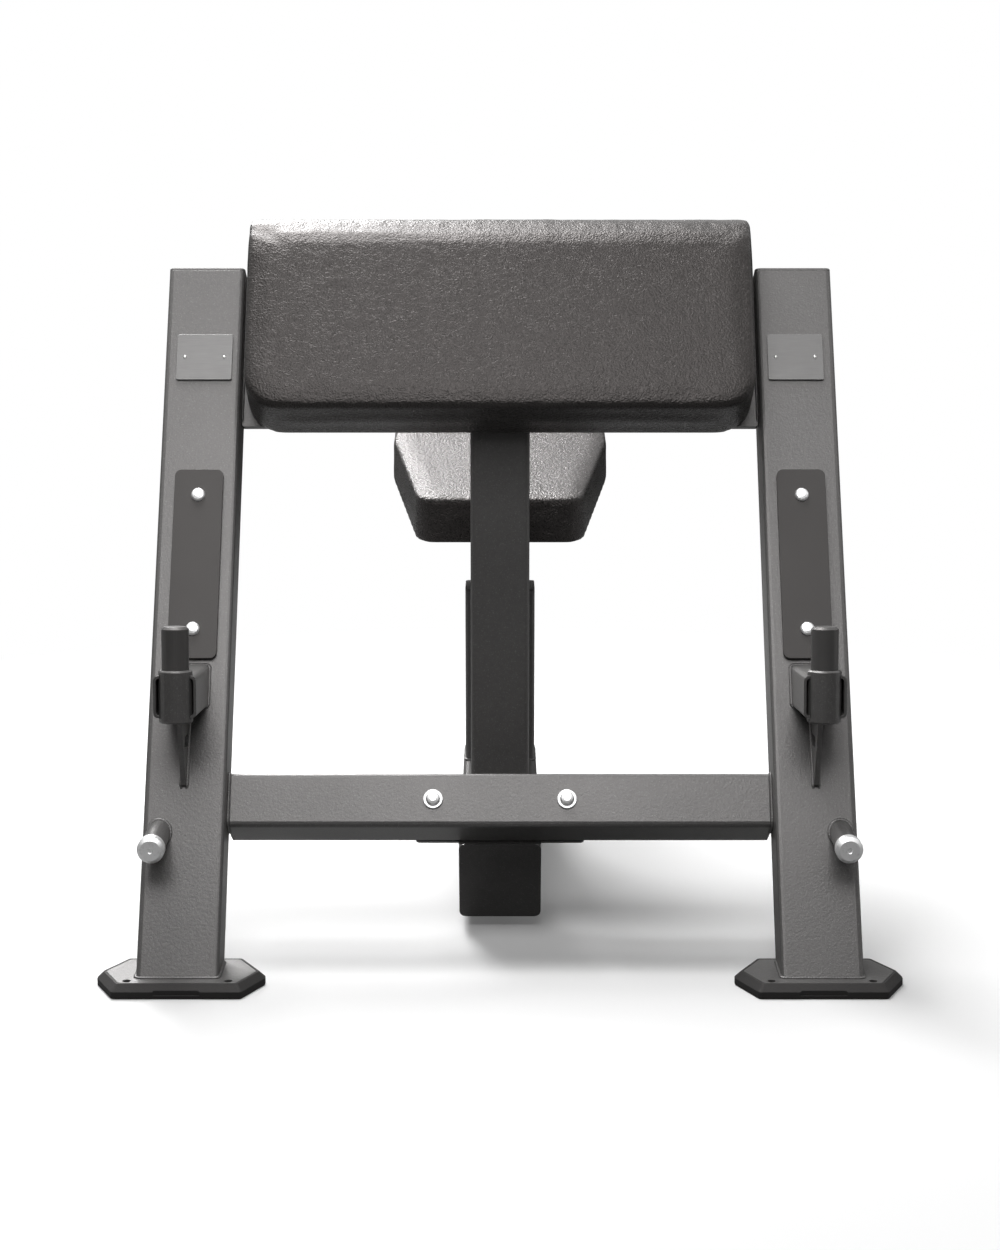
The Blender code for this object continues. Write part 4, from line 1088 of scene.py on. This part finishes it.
def white_share(recipe, camera, glossy):
    """How white a ray sees the surroundings: camera and transmission rays, and rays off gloss."""
    path = recipe.add("ShaderNodeLightPath").outputs
    seen = recipe.math("MAXIMUM", path["Is Camera Ray"], path["Is Transmission Ray"])
    seen = recipe.scaled(seen, camera)
    return recipe.math("MAXIMUM", seen, recipe.scaled(path["Is Glossy Ray"], glossy))


def make_floor():
    """Pale floor that keeps the shadow near the bench and runs into white further off."""
    made = Recipe("floor")
    made.tree.nodes.remove(made.shader)
    reach = made.add("ShaderNodeVectorMath", {0: made.place}, operation="LENGTH").outputs["Value"]
    near_white = made.ranged(reach, *WHITE_TO_CAMERA)
    far_white = made.ranged(reach, *WHITE_IN_GLOSS)
    seen = white_share(made, near_white, far_white)
    share = white_share(made, 1.0, FLOOR_IN_GLOSS)
    tone = made.mixed(share, colour(*FLOOR_BOUNCE), colour(*FLOOR_SEEN))
    pale = made.add("ShaderNodeBsdfDiffuse", {"Color": tone}).outputs["BSDF"]
    lift = made.scaled(white_share(made, 1.0, 0.0), FLOOR_LIFT)
    glow = made.add("ShaderNodeEmission", {"Strength": lift}).outputs["Emission"]
    near = made.add("ShaderNodeAddShader", {0: pale, 1: glow}).outputs["Shader"]
    white = made.add("ShaderNodeEmission").outputs["Emission"]
    surface = made.add("ShaderNodeMixShader", {"Fac": seen, 1: near, 2: white}).outputs["Shader"]
    made.feed(made.tree.nodes["Material Output"].inputs["Surface"], surface)
    disc = bmesh.new()
    bmesh.ops.create_circle(disc, cap_ends=True, segments=96, radius=FLOOR_RADIUS)
    floor = bpy.data.objects.new("floor", finished(disc))
    bpy.context.scene.collection.objects.link(floor)
    floor.data.materials.append(made.material)


def make_world():
    """White to the camera and in reflections, and a low even fill on everything else."""
    world = bpy.data.worlds.new("studio")
    bpy.context.scene.world = world
    world.use_nodes = True
    tree = world.node_tree
    path = tree.nodes.new("ShaderNodeLightPath")
    seen = path.outputs["Is Camera Ray"]
    for other in ("Is Glossy Ray", "Is Transmission Ray"):
        either = tree.nodes.new("ShaderNodeMath")
        either.operation = "MAXIMUM"
        tree.links.new(seen, either.inputs[0])
        tree.links.new(path.outputs[other], either.inputs[1])
        seen = either.outputs[0]
    strength = tree.nodes.new("ShaderNodeMapRange")
    strength.inputs["To Min"].default_value = WORLD_FILL
    strength.inputs["To Max"].default_value = 1.0
    tree.links.new(seen, strength.inputs["Value"])
    background = tree.nodes["Background"]
    background.inputs["Color"].default_value = (1, 1, 1, 1)
    tree.links.new(strength.outputs["Result"], background.inputs["Strength"])


def area_light(name, power, size, location, target):
    """Rectangular lamp of a width and a length, aimed at a point."""
    lamp = bpy.data.lights.new(name, "AREA")
    lamp.shape = "RECTANGLE"
    lamp.size = size[0]
    lamp.size_y = size[1]
    lamp.energy = power
    holder = bpy.data.objects.new(name, lamp)
    bpy.context.scene.collection.objects.link(holder)
    holder.location = location
    aim = Vector(target) - Vector(location)
    holder.rotation_euler = aim.to_track_quat("-Z", "Y").to_euler()


def make_flag():
    """Low dark wall all round, seen by reflections only: edges and upright faces keep their tone."""
    wall = bmesh.new()
    rows = []
    for height in (0.0, FLAG_HEIGHT):
        rows.append([wall.verts.new(point) for point in circle(FLAG_REACH, height, FLAG_STEPS)])
    for index in range(FLAG_STEPS):
        following = (index + 1) % FLAG_STEPS
        wall.faces.new((rows[0][index], rows[0][following], rows[1][following], rows[1][index]))
    flag = bpy.data.objects.new("flag", finished(wall))
    bpy.context.scene.collection.objects.link(flag)
    cloth = Recipe("flag_cloth")
    cloth.finish(Base_Color=colour(*FLAG_TONE), Roughness=1.0, Specular_IOR_Level=0.0)
    flag.data.materials.append(cloth.material)
    flag.visible_camera = False
    flag.visible_transmission = False
    flag.visible_shadow = False


def make_camera():
    """Camera of the photograph, whose frame is 1000 by 1250 pixels."""
    data = bpy.data.cameras.new("camera")
    data.lens = CAMERA_LENS
    data.sensor_width = CAMERA_SENSOR
    data.sensor_fit = "AUTO"
    camera = bpy.data.objects.new("camera", data)
    bpy.context.scene.collection.objects.link(camera)
    camera.location = CAMERA_PLACE
    camera.rotation_euler = (math.radians(90 - CAMERA_DIP), 0, 0)
    bpy.context.scene.camera = camera


make_floor()
make_world()
for name, light in LIGHTS.items():
    area_light(name, *light)
make_flag()
make_camera()
bpy.context.scene.view_settings.view_transform = "Standard"
